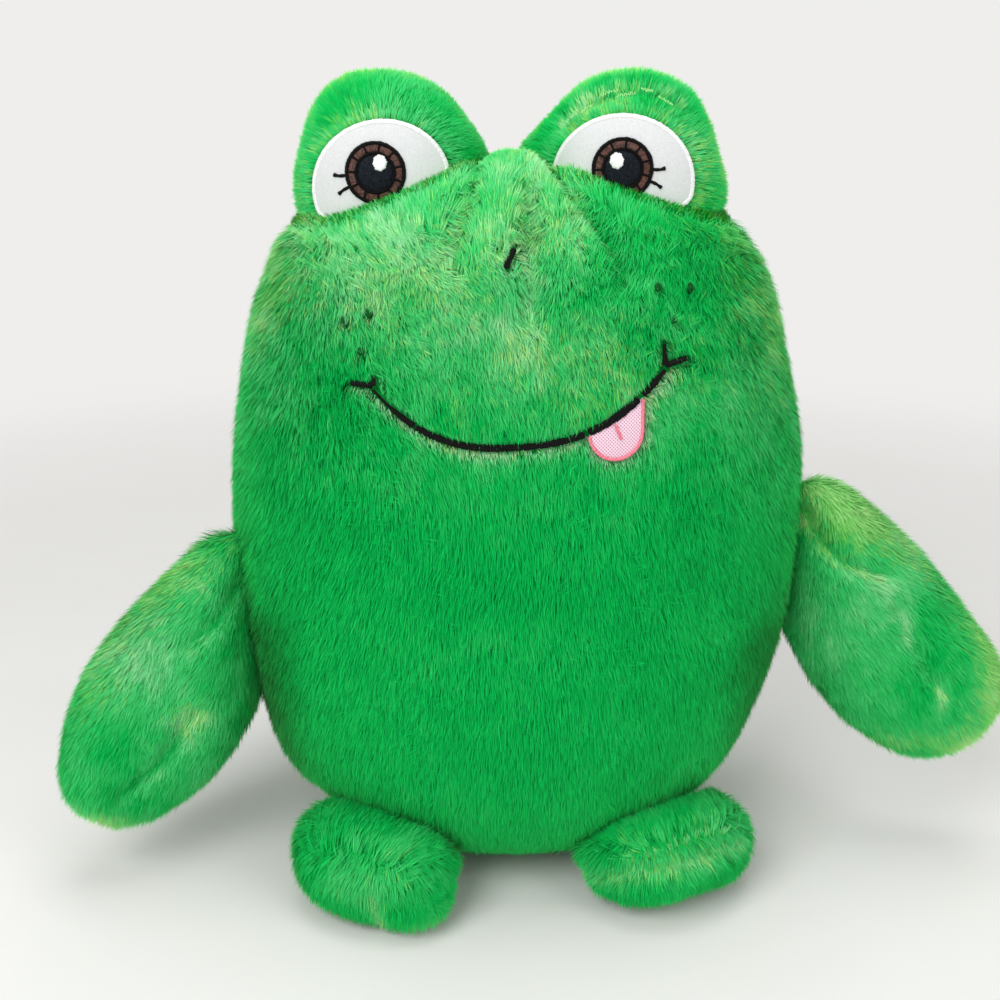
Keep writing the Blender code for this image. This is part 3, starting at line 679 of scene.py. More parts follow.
# %% [markdown]
# ## Room round the face's thread
#
# Each stitch has a half width, which is taken off the distance to its middle line. The nearest of
# all stitches counts. On the back half of the toy, thread of the front view is no hindrance.

# %% Room round the face's thread
def distance_to_mouth(flat):
    """Height over the mouth line times the cosine of its slope, or the way to its nearer end."""
    within = np.clip(flat[:, 0], -mouth_width / 2, mouth_width / 2)
    rise = (mouth_line(within + 0.0005) - mouth_line(within - 0.0005)) / 0.0010
    level = (flat[:, 1] - mouth_line(within)) / np.hypot(1.0, rise)
    return np.hypot(level, flat[:, 0] - within)


def thread_distance(points):
    """How far points before the body's front are from thread on it, in the front view. Points
    behind the front half count as far."""
    flat = points[:, [0, 2]]
    far = distance_to_mouth(flat) - mouth_stitch_width / 2
    for path in corner_paths:
        far = np.minimum(far, distance_to_path(flat, path) - 0.0011)
    far = np.minimum(far, distance_to_path(flat, nostril_path) - nostril_width / 2)
    for spot in freckle_spots:
        far = np.minimum(far, np.linalg.norm(flat - spot, axis=1) - 0.0004)
    top = mouth_line(np.clip(flat[:, 0], -mouth_width / 2, mouth_width / 2))
    low = mouth_line(tongue_place) - mouth_stitch_width / 2 - tongue_drop + tongue_half_width
    tongue = np.hypot(flat[:, 0] - tongue_place, np.minimum(flat[:, 1] - low, 0.0))
    tongue -= tongue_half_width
    far = np.minimum(far, np.where(flat[:, 1] > top, np.inf, tongue))
    return np.where(points[:, 1] > 0.0, np.inf, far)


def eye_white_distance(side, points):
    """How far points before a lobe's front are from its white patch, in the lobe's front view."""
    local = to_local(points, places[f"{side}_lobe"])
    centre = eye_white_centre[side]
    across, up = turned(local[:, 0] - centre[0], local[:, 2] - centre[1], -eye_white_tilt[side])
    rise = np.where(up > 0, eye_white_rise, eye_white_foot)
    level = np.hypot(across / eye_white_half_width, up / rise)
    return np.where(local[:, 1] > 0.0, np.inf, (level - 1.0) * eye_white_rise)


chin = np.array([[0.0, -0.08, mouth_line(0.0) - 0.02]])
print("20 mm under the mouth, thread is", thread_distance(chin).round(4)[0], "m away")

# %% [markdown]
# ## Folds and bulges
#
# Where the filling leaves the fabric slack it folds: on the forehead between the lobes, along the
# hands, and over the toes. Elsewhere it fills a form out. A cloth simulation would fold too, but
# not where this toy does, so each fold is drawn as a path and each bulge as a place, and both fade
# like a bell curve.

# %% Folds and bulges
pile_root_depth = 0.0030
folds = {  # path in the front view, depth and width of each fold, in mm
    "body": [
        (((4, 292), (4, 276), (5, 262), (5, 254)), 4.5, 4.5),
        (((10, 304), (21, 293), (31, 281), (40, 267)), 6.2, 4.5),
        (((-14, 304), (-17, 296), (-22, 284), (-26, 272)), 4.2, 4.5),
        (((-10, 306), (14, 306)), -5, 13),  # a saddle: pressed outwards
    ],
    "left_lobe": [(((19, 317), (28, 325), (38, 328.5), (48, 329), (56, 327),
                    (62, 323)), 2.6, 2.4)],
    "right_arm": [(((-137, 84), (-144, 70), (-152, 61), (-166, 51)), 2.8, 3.6),
                  (((-118, 136), (-124, 124), (-134, 114)), 2.2, 3.4)],
    "left_arm": [(((157, 125), (165, 114), (172, 103), (178, 92)), 3.6, 4),
                 (((125, 161), (131, 150), (140, 142), (152, 138)), 3.4, 3.4)],
    "right_foot": [(((-58, 24), (-56, 12)), 3, 4)],
    "left_foot": [(((31, 18), (49, 31), (65, 33), (80, 34), (92, 31)),
                   2.2, 3)],
}
bulges = {  # where the stuffing fills a form out more, or less: middle, size and push, in mm
    "body": [((122, 0, 231), (34, 70, 36), (-5.8, 0, 0)),
             ((-122, 0, 222), (34, 70, 36), (2.8, 0, 0)),
             ((-92, 0, 281), (20, 50, 14), (-3, 0, 1)),
             ((-106, 0, 43), (30, 60, 20), (-5, 0, -1)),
             ((103, 0, 40), (26, 60, 20), (3, 0, 0))],
    "left_lobe": [((12, 7, 307), (16, 19, 12.5), (-10.5, 0, -1)),
                  ((87, 0, 291), (16, 32, 14), (5.5, 0, 0))],
    "right_lobe": [((-20, 6, 306), (16, 20, 12.5), (5.5, 0, -1)),
                   ((-89, 0, 291), (16, 32, 18), (-3.6, 0, 0)),
                   ((-58, 0, 336), (26, 50, 14), (-3.2, 0, 0))],
    "left_arm": [((130, 0, 167), (20, 50, 22), (0, 0, 7)),
                 ((208, -20, 87), (22, 50, 22), (5, 0, 1.5))],
    "right_arm": [((-130, 0, 152), (18, 50, 20), (0, 0, 8))],
    "right_foot": [((-48, -100, 8), (36, 24, 16), (7.5, -1, 0)),
                   ((-22, -60, 14), (10, 22, 14), (-5.5, 0, 2))],
    "left_foot": [((78, -80, 2), (36, 24, 20), (-2, 8.5, 1)),
                  ((34, -68, 14), (12, 30, 14), (-3.5, 0, 1))],
}
print(sum(map(len, folds.values())), "folds,", sum(map(len, bulges.values())), "bulges")

# %% [markdown]
# ## Grids
#
# A skin is a grid of rings from pole to pole, a function of two angles, so its points, normals,
# folds and bulges are all worked out at once. A ball from the menu would hide those angles.

# %% Grids
grid_sizes = {"body": (120, 200), "lobe": (48, 72), "arm": (72, 96), "foot": (48, 72)}


def bell(points, middle, size):
    """1 at a middle, fading outwards as exp(-r^2), with r in units of the size along each axis.
    Middle and size are in mm."""
    away = (points - np.array(middle) / 1000) / (np.array(size) / 1000)
    return np.exp(-(away ** 2).sum(axis=-1))


def unit_rings(rings, columns, along_x):
    """Unit directions at polar angle pi * ring / rings and turn 2 pi * column / columns. The poles
    lie on Z, or on X for a limb."""
    polar = np.linspace(0.0, math.pi, rings + 1)[:, None]
    turn = full_turn(columns)[None, :]
    grid = np.stack([np.sin(polar) * np.cos(turn), np.sin(polar) * np.sin(turn),
                     np.cos(polar) * np.ones_like(turn)], axis=-1)
    return grid[..., [2, 0, 1]] if along_x else grid


def grid_normals(points):
    """Cross product of the steps along the rings' meridians and round the rings. The poles take the
    mean of the next ring's."""
    south = np.gradient(points, axis=0)
    east = np.roll(points, -1, axis=1) - np.roll(points, 1, axis=1)
    normals = np.cross(south, east)
    normals[0] = normals[1].sum(axis=0)
    normals[-1] = normals[-2].sum(axis=0)
    return normals / np.maximum(np.linalg.norm(normals, axis=-1, keepdims=True), 1e-12)


print("body grid of", grid_sizes["body"][0] * grid_sizes["body"][1], "points")

# %% [markdown]
# ## Pressing and closing a grid
#
# Folds and bulges move the grid's points before any pile grows, so the pile follows them. They
# could be sculpted into the finished mesh, but then no strand would know of them. At its poles a
# grid is closed with triangles.

# %% Pressing and closing a grid
def pressed(form, points, normals):
    """Points moved inwards by depth * exp(-(distance / width)^2) of each fold on the front."""
    flat = points[..., [0, 2]].reshape(-1, 2)
    depth = np.zeros(len(flat))
    for path, fold_depth, fold_width in folds.get(form, ()):
        distance = distance_to_path(flat, np.array(path) / 1000) * 1000
        depth += fold_depth / 1000 * np.exp(-(distance / fold_width) ** 2)
    depth = depth.reshape(points.shape[:2])
    depth *= ease(-normals[..., 1], -0.30, 0.20)
    return points - normals * depth[..., None]


def bulged(form, points):
    """Points moved by each push, times 1 at the middle of its place and less further out."""
    moved = points.copy()
    for middle, size, push in bulges.get(form, ()):
        moved += bell(points, middle, size)[..., None] * np.array(push) / 1000
    return moved


def closed_mesh(grid):
    """Points and faces of a grid whose first and last rings are each one point."""
    rings, columns = grid.shape[0] - 1, grid.shape[1]
    points = np.concatenate([grid[0, :1], grid[1:-1].reshape(-1, 3), grid[-1, :1]])
    quads = (strip_faces(rings - 1, columns, wrap_columns=True) + 1).tolist()
    column = np.arange(columns)
    ahead = (column + 1) % columns
    last = (rings - 2) * columns + 1
    top = np.stack([np.zeros_like(column), column + 1, ahead + 1], axis=-1).tolist()
    bottom = np.stack([last + column, np.full_like(column, len(points) - 1), last + ahead],
                      axis=-1).tolist()
    return points, top + quads + bottom


print("at 1 size from its middle a bulge keeps", bell(np.array([0.01, 0.0, 0.0]), (0, 0, 0),
                                                       (10, 10, 10)).round(3), "of its push")

# %% [markdown]
# ## Skins
#
# The knitted backing is a smooth skin a little inside the surface of the CAD solids, because the
# pile stands on it. One closed skin takes the place of a form's two panels and its filling. An
# arm's skin is baked into world space and rides on no body; every other skin rides on its body.

# %% Skins
# The backing is drawn a deeper green than the dye: painted shade for the bottom of the pile.
backing = speckled("knitted_backing", 0.95, "007A2E", "009A3C", 420.0, detail=4.0, spread=0.2,
                   dent=0.6, dent_depth=0.0008, specular=0.2)[0]

stands_for = {
    "body": ("body_front_panel", "body_back_panel", "body_stuffing"),
    "left_arm": ("left_arm_outer_panel", "left_arm_inner_panel", "left_arm_stuffing"),
    "right_arm": ("right_arm_outer_panel", "right_arm_inner_panel", "right_arm_stuffing"),
    "left_foot": ("left_foot_top_panel", "left_foot_sole_panel", "left_foot_stuffing"),
    "right_foot": ("right_foot_top_panel", "right_foot_sole_panel", "right_foot_stuffing"),
    "left_lobe": ("left_eye_front_panel", "left_eye_back_panel", "left_eye_stuffing"),
    "right_lobe": ("right_eye_front_panel", "right_eye_back_panel", "right_eye_stuffing"),
}
body_of_form = {form: form if form.endswith(("arm", "foot")) else "body" for form in shapes}
grids = {}


def fasten(item, form):
    """An arm's fabric is baked into world space and left on no body. All other pieces ride on their
    body whole."""
    if form.endswith("arm"):
        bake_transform(item)
    else:
        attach(item, body_of_form[form])


for form, shape in shapes.items():
    kind = form.split("_")[-1]
    directions = unit_rings(*grid_sizes[kind], along_x=kind in ("arm", "foot"))
    surface = shape(directions, pile_root_depth)
    push = (1.0 - ease(surface[..., :1], 0.0, shoulder_reach)) * shoulder_push.get(form, (0.0,) * 3)
    surface = bulged(form, to_world(surface, places[form]) + push)
    surface = pressed(form, surface, grid_normals(surface))
    grids[form] = (surface, grid_normals(surface))
    skin = new_mesh_object(f"{form}_skin", *closed_mesh(surface), backing)
    fasten(skin, form)
    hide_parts(*stands_for[form])
    low, high = surface.reshape(-1, 3).min(axis=0), surface.reshape(-1, 3).max(axis=0)
    print(form, "skin", (high - low).round(4))

# %% [markdown]
# ## Random fields
#
# On a plush toy the pile isn't noise, but it isn't even either. It swirls slowly from place to
# place, and neighbours fall together in small locks. Both are read here from one block of random
# numbers, by smooth mixing for the swirls and by the nearest random point for the locks.

# %% Random fields
lattice_size = 64
lattice = np.random.default_rng(21).random((lattice_size, lattice_size, lattice_size, 4),
                                           dtype=np.float32)
corners = list(itertools.product((0, 1), repeat=3))


def lattice_at(cells):
    """The four random values of lattice points, which repeat beyond the lattice's size."""
    wrapped = cells % lattice_size
    return lattice[wrapped[:, 0], wrapped[:, 1], wrapped[:, 2]]


def drift(points, cell_size):
    """Four smooth random values from -1 to 1 at each point: those of the eight lattice points round
    it, weighted by eased distances."""
    scaled = points / cell_size
    cells = np.floor(scaled).astype(int)
    share = scaled - cells
    share = share * share * (3.0 - 2.0 * share)
    total = 0.0
    for corner in corners:
        weight = np.prod(np.where(corner, share, 1.0 - share), axis=1)
        total = total + weight[:, None] * lattice_at(cells + corner)
    return 2.0 * total - 1.0


def nearest_lock(points, spacing):
    """Way from each point to the middle of its lock, and the lock's own random value. The middles
    are one random point in each cube of the lattice."""
    cells = np.floor(points / spacing).astype(int)
    nearest = np.full(len(points), np.inf)
    way = np.zeros_like(points)
    value = np.zeros(len(points))
    for step in itertools.product((-1, 0, 1), repeat=3):
        neighbour = cells + step
        random_values = lattice_at(neighbour)
        gap = (neighbour + random_values[:, :3]) * spacing - points
        distance = (gap ** 2).sum(axis=1)
        nearer = distance < nearest
        nearest = np.where(nearer, distance, nearest)
        way[nearer] = gap[nearer]
        value[nearer] = random_values[nearer, 3]
    return way, value


swirl_sample = drift(grids["body"][0].reshape(-1, 3)[::50], 0.022)
print("swirls run from", swirl_sample.min().round(2), "to", swirl_sample.max().round(2))

# %% [markdown]
# ## Roots
#
# A knitting machine sets its loops evenly, so roots are strewn by area and no place is thin.
# Drawing cells of the grid by chance alone would leave gaps and heaps; even steps through the
# running sum of the areas don't.

# %% Roots
def unit(vectors):
    """Each vector over its length."""
    return vectors / np.maximum(np.linalg.norm(vectors, axis=-1, keepdims=True), 1e-9)


def flattened(vectors, normals):
    """The part of each vector that lies in the surface, as a unit vector."""
    return unit(vectors - (vectors * normals).sum(axis=1, keepdims=True) * normals)


def scatter(form, count, random, density):
    """Roots spread over a form's grid: cells are drawn by area times density, at even steps of the
    running sum, and a root lies at random inside its cell."""
    points, normals = grids[form]
    beside, below = np.roll(points, -1, axis=1), points[1:]
    diagonal = np.roll(below, -1, axis=1) - points[:-1]
    other = below - beside[:-1]
    area = np.linalg.norm(np.cross(diagonal, other), axis=-1) / 2
    middle = (points[:-1] + np.roll(below, -1, axis=1)) / 2
    weight = (area * density(middle.reshape(-1, 3)).reshape(area.shape)).ravel()
    running = np.cumsum(weight) / weight.sum()
    cell = np.searchsorted(running, (np.arange(count) + random.random(count)) / count)
    row, column = np.divmod(np.minimum(cell, len(running) - 1), points.shape[1])
    ahead = (column + 1) % points.shape[1]
    s, t = random.random((2, count, 1))
    found = []
    for values in (points, normals):
        upper = values[row, column] * (1.0 - t) + values[row, ahead] * t
        lower = values[row + 1, column] * (1.0 - t) + values[row + 1, ahead] * t
        found.append(upper * (1.0 - s) + lower * s)
    return found[0], unit(found[1])


first_ring = grids["body"][0][1] - grids["body"][0][0]
print("the body's first ring is", np.linalg.norm(first_ring, axis=-1).mean().round(4), "m wide")

# %% [markdown]
# ## Combing
#
# The pile was combed one way when the fabric was made, and hands have stroked it since. Particle
# hair would be combed with a brush tool; here each form has a formula for the way its strands lie.
# On a rounded top some strands turn back and others don't. A sharp change would show as a parting.

# %% Combing
lobe_foot_reach = 0.0010, 0.0062


def fold_nearness(form, points, width):
    """1 on the folds of a form's front, fading as exp(-(distance / width)^2)."""
    near = np.zeros(len(points))
    for fold_path, fold_depth, _ in folds.get(form, ()):
        distance = distance_to_path(points[:, [0, 2]], np.array(fold_path) / 1000)
        near = np.maximum(near, np.exp(-(distance / width) ** 2) * (fold_depth > 0.0))
    return near


def near_lobes(points):
    """1 where the crown meets a lobe, 0 from the reach away."""
    closeness = np.zeros(len(points))
    for side in signs:
        distance = (level_of(f"{side}_lobe", points) - 1.0) * lobe_size[0] / 2
        closeness = np.maximum(closeness, 1.0 - ease(distance, *lobe_foot_reach))
    return closeness


def turns_back(points, normals, start, end, mixing):
    """True where a strand on a rounded top lies back instead of forwards. The chance grows as the
    surface turns upwards, so the two ways mix strand by strand."""
    chance = ease(normals[:, 2], start, end)
    return chance + mixing * drift(points, 0.0012)[:, 1] + 0.25 * drift(points, 0.006)[:, 0] > 0.5


crown = grids["body"][0][8]
print("closeness to a lobe along a ring of the crown, up to", near_lobes(crown).max().round(2))

# %% [markdown]
# ## Combing of each form
#
# The body's pile runs down, slants on the face and turns back on the crown. A lobe's runs away from
# its white patch, an arm's along the arm, and a foot's down over the toes. These ways were read off
# the photograph in front and are guessed behind.

# %% Combing of each form
def comb_body(points, normals):
    """Down all over. On the face it also runs towards the toy's left, most on its right cheek. On
    the crown it runs back."""
    way = np.array([0.0, 0.0, -1.0]) * np.ones_like(points)
    face = ease(points[:, 2], 0.150, 0.230) * ease(-normals[:, 1], 0.30, 0.80)
    slant = 0.80 * ease(-points[:, 0], -0.030, 0.060) - 0.15 * ease(points[:, 0], 0.010, 0.060)
    way[:, 0] += face * slant
    way[turns_back(points, normals, 0.26, 0.94, 0.70)] = (0.0, 1.0, 0.0)
    return way


def comb_lobe(side):
    """The combing of one side's lobe."""
    def comb(points, normals):
        """Away from the middle of the white patch, on round to the back and down there."""
        centre = np.array([eye_white_centre[side][0], -lobe_size[1] / 2, eye_white_centre[side][1]])
        away = points - to_world(centre, places[f"{side}_lobe"])
        back = ease(points[:, 1], 0.0, 0.025)
        down = np.array([0.0, 0.0, -1.0])
        return unit(away) * (1.0 - back)[:, None] + back[:, None] * down

    return comb


def comb_arm(form, droop):
    """The combing of an arm with that droop."""
    def comb(points, normals):
        """Along the arm to its tip, where it fans out."""
        local = to_local(points, places[form])
        along = np.array([math.cos(droop), 0.0, -math.sin(droop)])
        tip = ease(local @ along, 0.085, 0.130)
        fanned = along + 0.5 * tip[:, None] * unit(local - along * 0.06)
        return fanned @ places[form][0].T

    return comb


def comb_foot(form):
    """The combing of a foot."""
    def comb(points, normals):
        """Down on the toes and the sides, and back to the seam on top."""
        way = np.array([0.0, 0.0, -1.0]) * np.ones_like(points)
        way[turns_back(points, normals, 0.30, 1.05, 1.10)] = -places[form][0][:, 0]
        return way

    return comb


arm_ways = comb_arm("left_arm", arm_droop["left"])(grids["left_arm"][0].reshape(-1, 3), None)
print("the left arm's pile points along", unit(arm_ways.mean(axis=0)).round(2))

# %% [markdown]
# ## Colours of the pile
#
# One dye, but many greens: a strand is drawn deeper at its root, a painted shade for the bottom of
# the pile, and paler at its tip, where it is thinner, partly its own colour and partly painted
# light through it. Where the pile was brushed against its lie the pale tips show and make streaky
# patches;
# where it lies flat it looks deep and even. Each strand takes one column of a small colour table.
# The left half of the table is cool green and the right half yellow-green, and in each half the
# columns run from deep to pale; half way along each is the plain dye.

# %% Colours of the pile
table_columns = 128
pile, tree, shader = new_material("long_pile_polyester", 0.8, specular=0.06, sheen=0.16,
                                  sheen_tint="B8F4A8")
place = add_node(tree, "ShaderNodeUVMap", uv_map="OFBake")
column_and_height = add_node(tree, "ShaderNodeSeparateXYZ", {"Vector": place.outputs["UV"]})
root_green = add_node(tree, "ShaderNodeValToRGB", {"Fac": column_and_height.outputs["X"]},
                      stops=[(0.0, "00280C"), (1.0, "7CD46C"), (0.12, "007C2C"), (0.25, "00B24A"),
                             (0.37, "22C25C"), (0.49, "60D27A"), (0.51, "003409"), (0.62, "008C2A"),
                             (0.75, "0CB43E"), (0.87, "4EC85A")])
tip_green = add_node(tree, "ShaderNodeValToRGB", {"Fac": column_and_height.outputs["X"]},
                     stops=[(0.0, "004416"), (1.0, "C8F6A4"), (0.12, "009A3E"), (0.25, "00CE5C"),
                            (0.37, "54E082"), (0.49, "B0F4B8"), (0.51, "005411"), (0.62, "0CA838"),
                            (0.75, "30D050"), (0.87, "8EE674")])
# Root to tip: the deep root is painted shade, the pale tip partly painted light through it.
height = add_node(tree, "ShaderNodeMapRange", {"Value": column_and_height.outputs["Y"],
                                               "From Min": 0.10, "From Max": 1.0},
                  interpolation_type="SMOOTHSTEP")
strand_green = add_node(tree, "ShaderNodeMix", {0: height.outputs["Result"],
                                                6: root_green.outputs["Color"],
                                                7: tip_green.outputs["Color"]}, data_type="RGBA")
tree.links.new(strand_green.outputs[2], shader.inputs["Base Color"])
print("colour table of", table_columns, "columns")

# %% [markdown]
# ## Patches of pale pile
#
# Stroked against its lie, the pile shows its pale tips in patches and streaks. Round the eyes and
# beside thread it stands up and is pale as well. A crease on a lobe or a limb is pale, with a deep
# line of painted shade down an arm's; painted shade also darkens the body's folds and the pile
# under the arms. A painted picture could hold that, but would slide over the pile; here each strand
# asks for its own paleness and yellowness at its root.

# %% Patches of pale pile
body_patches = [  # middle and size in mm, how much paler, how much yellower
    ((-50, -54, 270), (34, 60, 20), 0.30, 0.15),
    ((-9, -73, 243), (28, 60, 17), 0.20, 0.08),
    ((6, -50, 287), (20, 50, 16), 0.20, 0.14),
    ((-98, -30, 210), (26, 60, 34), 0.02, -0.30),
    ((90, -45, 222), (22, 50, 22), 0.00, -0.14),
    ((22, -57, 280), (8, 50, 14), 0.26, 0.20),
    ((3, -66, 268), (9, 50, 26), 0.26, 0.15),
    ((36, -68, 236), (9, 50, 12), 0.12, 0.20),
    ((-96, -20, 255), (18, 60, 36), 0.16, 0.30),
    ((94, -20, 240), (18, 60, 50), 0.16, 0.35),
    ((60, -50, 266), (20, 50, 16), -0.06, 0.10),
    ((-75, -55, 215), (24, 50, 18), -0.05, 0.00),
]
arm_patches = {
    "right_arm": [((-150, -40, 105), (18, 50, 14), 0.15, 0.02),
                  ((-142, -30, 137), (14, 50, 10), 0.04, 0.05),
                  ((-172, -45, 62), (16, 50, 18), -0.12, -0.20),
                  ((-137, -45, 82), (8, 50, 10), 0.18, 0.35),
                  ((-175, -50, 36), (14, 50, 10), 0.14, 0.35)],
    "left_arm": [((135, -30, 166), (22, 60, 20), 0.16, 0.50),
                 ((133, -30, 112), (24, 60, 26), 0.12, -0.20),
                 ((176, -30, 108), (14, 50, 20), -0.14, -0.20),
                 ((209, -30, 85), (14, 60, 34), 0.16, 0.55),
                 ((164, -45, 119), (3.5, 50, 9), 0.30, 0.25),
                 ((181, -45, 87), (3, 50, 9), 0.34, 0.30),
                 ((178, -40, 62), (26, 50, 10), 0.12, 0.45)],
    "right_foot": [((-59, -88, 30), (20, 30, 8), 0.24, 0.15),
                   ((-34, -104, 8), (15, 30, 10), 0.36, 0.50)],
    "left_foot": [((90, -60, 42), (10, 30, 6), 0.16, 0.10)],
}


def patched(points, patches, pale, yellow):
    """Paleness and yellowness with each patch's share added, fading from its middle."""
    for middle, size, paler, yellower in patches:
        here = bell(points, middle, size)
        pale = pale + paler * here
        yellow = yellow + yellower * here
    return pale, yellow


print(len(body_patches), "patches on the body,",
      sum(map(len, arm_patches.values())), "on the limbs")

# %% [markdown]
# ## Colour of each strand
#
# The colour follows from the form as well: pale beside thread and round the lobes, paler by painted
# light on the crown, the limbs' upper edges and the lobes' rims, and darker by painted shade in
# folds, on the lobes' inner sides and under the arms. A material can't know that a stitch is near,
# but the strands can, so each form has a formula that gives every root its paleness, its yellowness
# and how lively it is.

# %% Colour of each strand
def tint_body(points, normals):
    """Plain dye on the belly, streaky on the face, and pale round the lobes and beside the thread.
    Painted light makes the crown paler, and painted shade darkens the folds and the flanks low
    down, under the arms."""
    pale, yellow = patched(points, body_patches, np.full(len(points), 0.48), 0.03)
    closeness = near_lobes(points)
    beside = 1.0 - ease(thread_distance(points), 0.0005, 0.0040)
    under = points[:, 2] < mouth_line(np.clip(points[:, 0], -mouth_width / 2, mouth_width / 2))
    beside = beside * np.where(under, 1.0, 0.3)
    # Painted light: the crown, which faces the light from above, is drawn paler.
    crown = ease(points[:, 2], 0.288, 0.302)
    # Painted shade: the front of the flanks, low down under the arms, is drawn darker.
    painted_flank_shade = ease(np.abs(points[:, 0]), 0.078, 0.102) * (1.0 - ease(points[:, 2], 0.110, 0.150))
    painted_flank_shade *= ease(points[:, 2], 0.030, 0.060) * ease(-points[:, 1], -0.012, 0.016)
    face = ease(points[:, 2], 0.165, 0.235)
    pale += 0.10 * face + 0.12 * closeness + 0.38 * beside + 0.10 * crown - 0.28 * painted_flank_shade
    # Painted shade: darker along the folds of the front.
    pale -= 0.10 * fold_nearness("body", points, 0.0024)
    yellow += 0.17 * face + 0.30 * closeness + 0.22 * beside + 0.12 * crown
    lively = 0.28 + 0.60 * face
    return pale, yellow, lively


def tint_lobe(side):
    """The colours of one side's lobe."""
    def tint(points, normals):
        """Paler and yellower where the lobe turns away from the front, by painted rim light, and
        darker on its inner side, by painted shade between the lobes.
        """
        edge = 1.0 - ease(eye_white_distance(side, points), 0.0005, 0.0045)
        # Painted rim light: paler and yellower where the lobe turns from the front.
        rim = (1.0 - ease(-normals[:, 1], 0.20, 0.85)) * (1.0 - ease(normals[:, 1], 0.10, 0.70))
        # Painted shade: darker on the inner side, which faces the other lobe.
        inner = ease(-signs[side] * normals[:, 0], 0.20, 0.70)
        crease = fold_nearness(f"{side}_lobe", points, 0.0016) * (points[:, 1] < 0.0)
        pale = 0.53 + 0.16 * edge + 0.22 * rim - 0.12 * inner + 0.28 * crease
        yellow = 0.22 + 0.16 * edge + 0.44 * rim - 0.16 * inner + 0.20 * crease
        return pale, yellow, np.full(len(points), 0.8)

    return tint


def tint_limb(form, droop):
    """The colours of an arm with that droop, or of a foot, whose droop is 0."""
    def tint(points, normals):
        """Paler on the upper edge, by painted light from above, and at the tip; at a crease a deep
        line of painted shade between pale sides.
        """
        local = to_local(points, places[form])
        # Painted light: the upper edge is drawn paler, as lit from above.
        upper = ease(normals[:, 2], 0.05, 0.75)
        length = arm_length if droop else foot_length
        tip = ease(turned(local[:, 0], local[:, 2], droop)[0], 0.86 * length, 1.02 * length)
        front = normals[:, 1] < 0.0
        crease = fold_nearness(form, points, 0.0040) * front
        # Painted shade: a deep line down the middle of an arm's crease.
        line = fold_nearness(form, points, 0.0016) * front * (1.0 if droop else 0.0)
        strong = 1.0 if droop else 0.4
        pale = (0.59 if droop else 0.41) + 0.14 * strong * upper + 0.14 * tip
        pale += (0.16 if droop else 0.34) * crease - 0.34 * line
        yellow = (0.16 if droop else 0.08) + 0.32 * strong * upper + 0.20 * tip
        yellow += 0.0 if droop else 0.30 * crease
        pale, yellow = patched(points, arm_patches[form], pale, yellow)
        return pale, yellow, np.full(len(points), 0.65 if droop else 0.45)

    return tint


body_grid = [values.reshape(-1, 3) for values in grids["body"]]
print("mean paleness of the body", tint_body(*body_grid)[0].mean().round(3))

# %% [markdown]
# ## Growing the pile
#
# A real strand is 0.05 mm thick, and a toy this size has millions. Some 1.2 million, each about as
# wide as one picture element, cover it as well. There are two coats. A strand of the long coat is a
# bent blade of two triangles, widest at its middle, and one of the short coat is a single sharp
# triangle, which fills in. Particle hair would look finer, but it isn't part of an exported model.

# %% Lengths and room of the strands
pile_length = {"body": 0.0094, "lobe": 0.0080, "arm": 0.0096, "foot": 0.0088}
coats = {  # width, length share, strands in a piece, steps along a strand, faces of a strand
    "long": (0.00038, 1.00, 98000, (0.0, 0.5, 0.5, 1.0), (0, 2, 1, 1, 2, 3)),
    "short": (0.00046, 0.84, 195000, (0.0, 0.0, 1.0), (0, 1, 2)),
}
root_lean, tip_lean, least_lean = (math.radians(angle) for angle in (50.0, 21.0, 6.0))
most_twist = math.radians(38.0)
broad_swirl, fine_swirl = 0.022, 0.0065
lock_spacing, tuft_spacing = 0.0026, 0.0080
lock_pull, tuft_pull = 0.30, 0.10
floor_gap = 0.0003
toe_tuft = (-32, -104, 8), (13, 22, 12)  # middle and size in mm
strand_counts = {"body": 205000, "lobe": 21000, "arm": 30000, "foot": 15000}  # of the long coat


def covered(form, roots):
    """Roots that lie inside another form, or under thread."""
    hidden = np.zeros(len(roots), bool)
    if form == "body":
        for side in signs:
            hidden |= level_of(f"{side}_lobe", roots) < 0.98
        hidden |= thread_distance(roots) < 0.0
    else:
        hidden |= body_level(roots) < (0.985 if form.endswith("lobe") else 0.97)
    if form.endswith("lobe"):
        hidden |= eye_white_distance(form.split("_")[0], roots) < -0.0006
    return hidden


def room_on_way(form, roots, ways, random):
    """Share of each strand's way that is clear of thread, tried at every sixth of the way. One
    strand in a few may lie over the thread's edge."""
    share = np.ones(len(roots))
    side = form.split("_")[0]
    gap_to = thread_distance if form == "body" else lambda points: eye_white_distance(side, points)
    near = np.flatnonzero(gap_to(roots) < 0.016)
    allowed = 0.0003 - 0.0016 * random.random(len(near)) ** 2
    for step in np.arange(6, 0, -1) / 6:
        blocked = gap_to(roots[near] + ways[near] * step) < allowed
        share[near] = np.where(blocked, step - 0.16, share[near])
    return np.maximum(share, 0.20)


print({name: f"{1000 * values[0]:.2f} mm wide" for name, values in coats.items()})

# %% [markdown]
# ## Leaning and cutting
#
# A strand stands steeply at its root and lies flat at its tip, and thread, eyes and seams hold it
# up or cut it short. Scissors would do the last on a real toy, and a groomed hair system would
# need a map for it; here the distance to each of them says how much.

# %% Leaning and cutting
def combed(ways, normals, broad, fine, lively, random):
    """Directions in which strands lie: the combing, bent by swirls and by each one's straying."""
    swirl = (0.30 * broad[:, :3] + 0.30 * fine[:, :3]) * (0.4 + 0.6 * lively)[:, None]
    stray = (0.30 + 0.40 * lively)[:, None] * (random.random((len(ways), 3)) - 0.5)
    return flattened(flattened(ways, normals) + swirl + stray, normals)


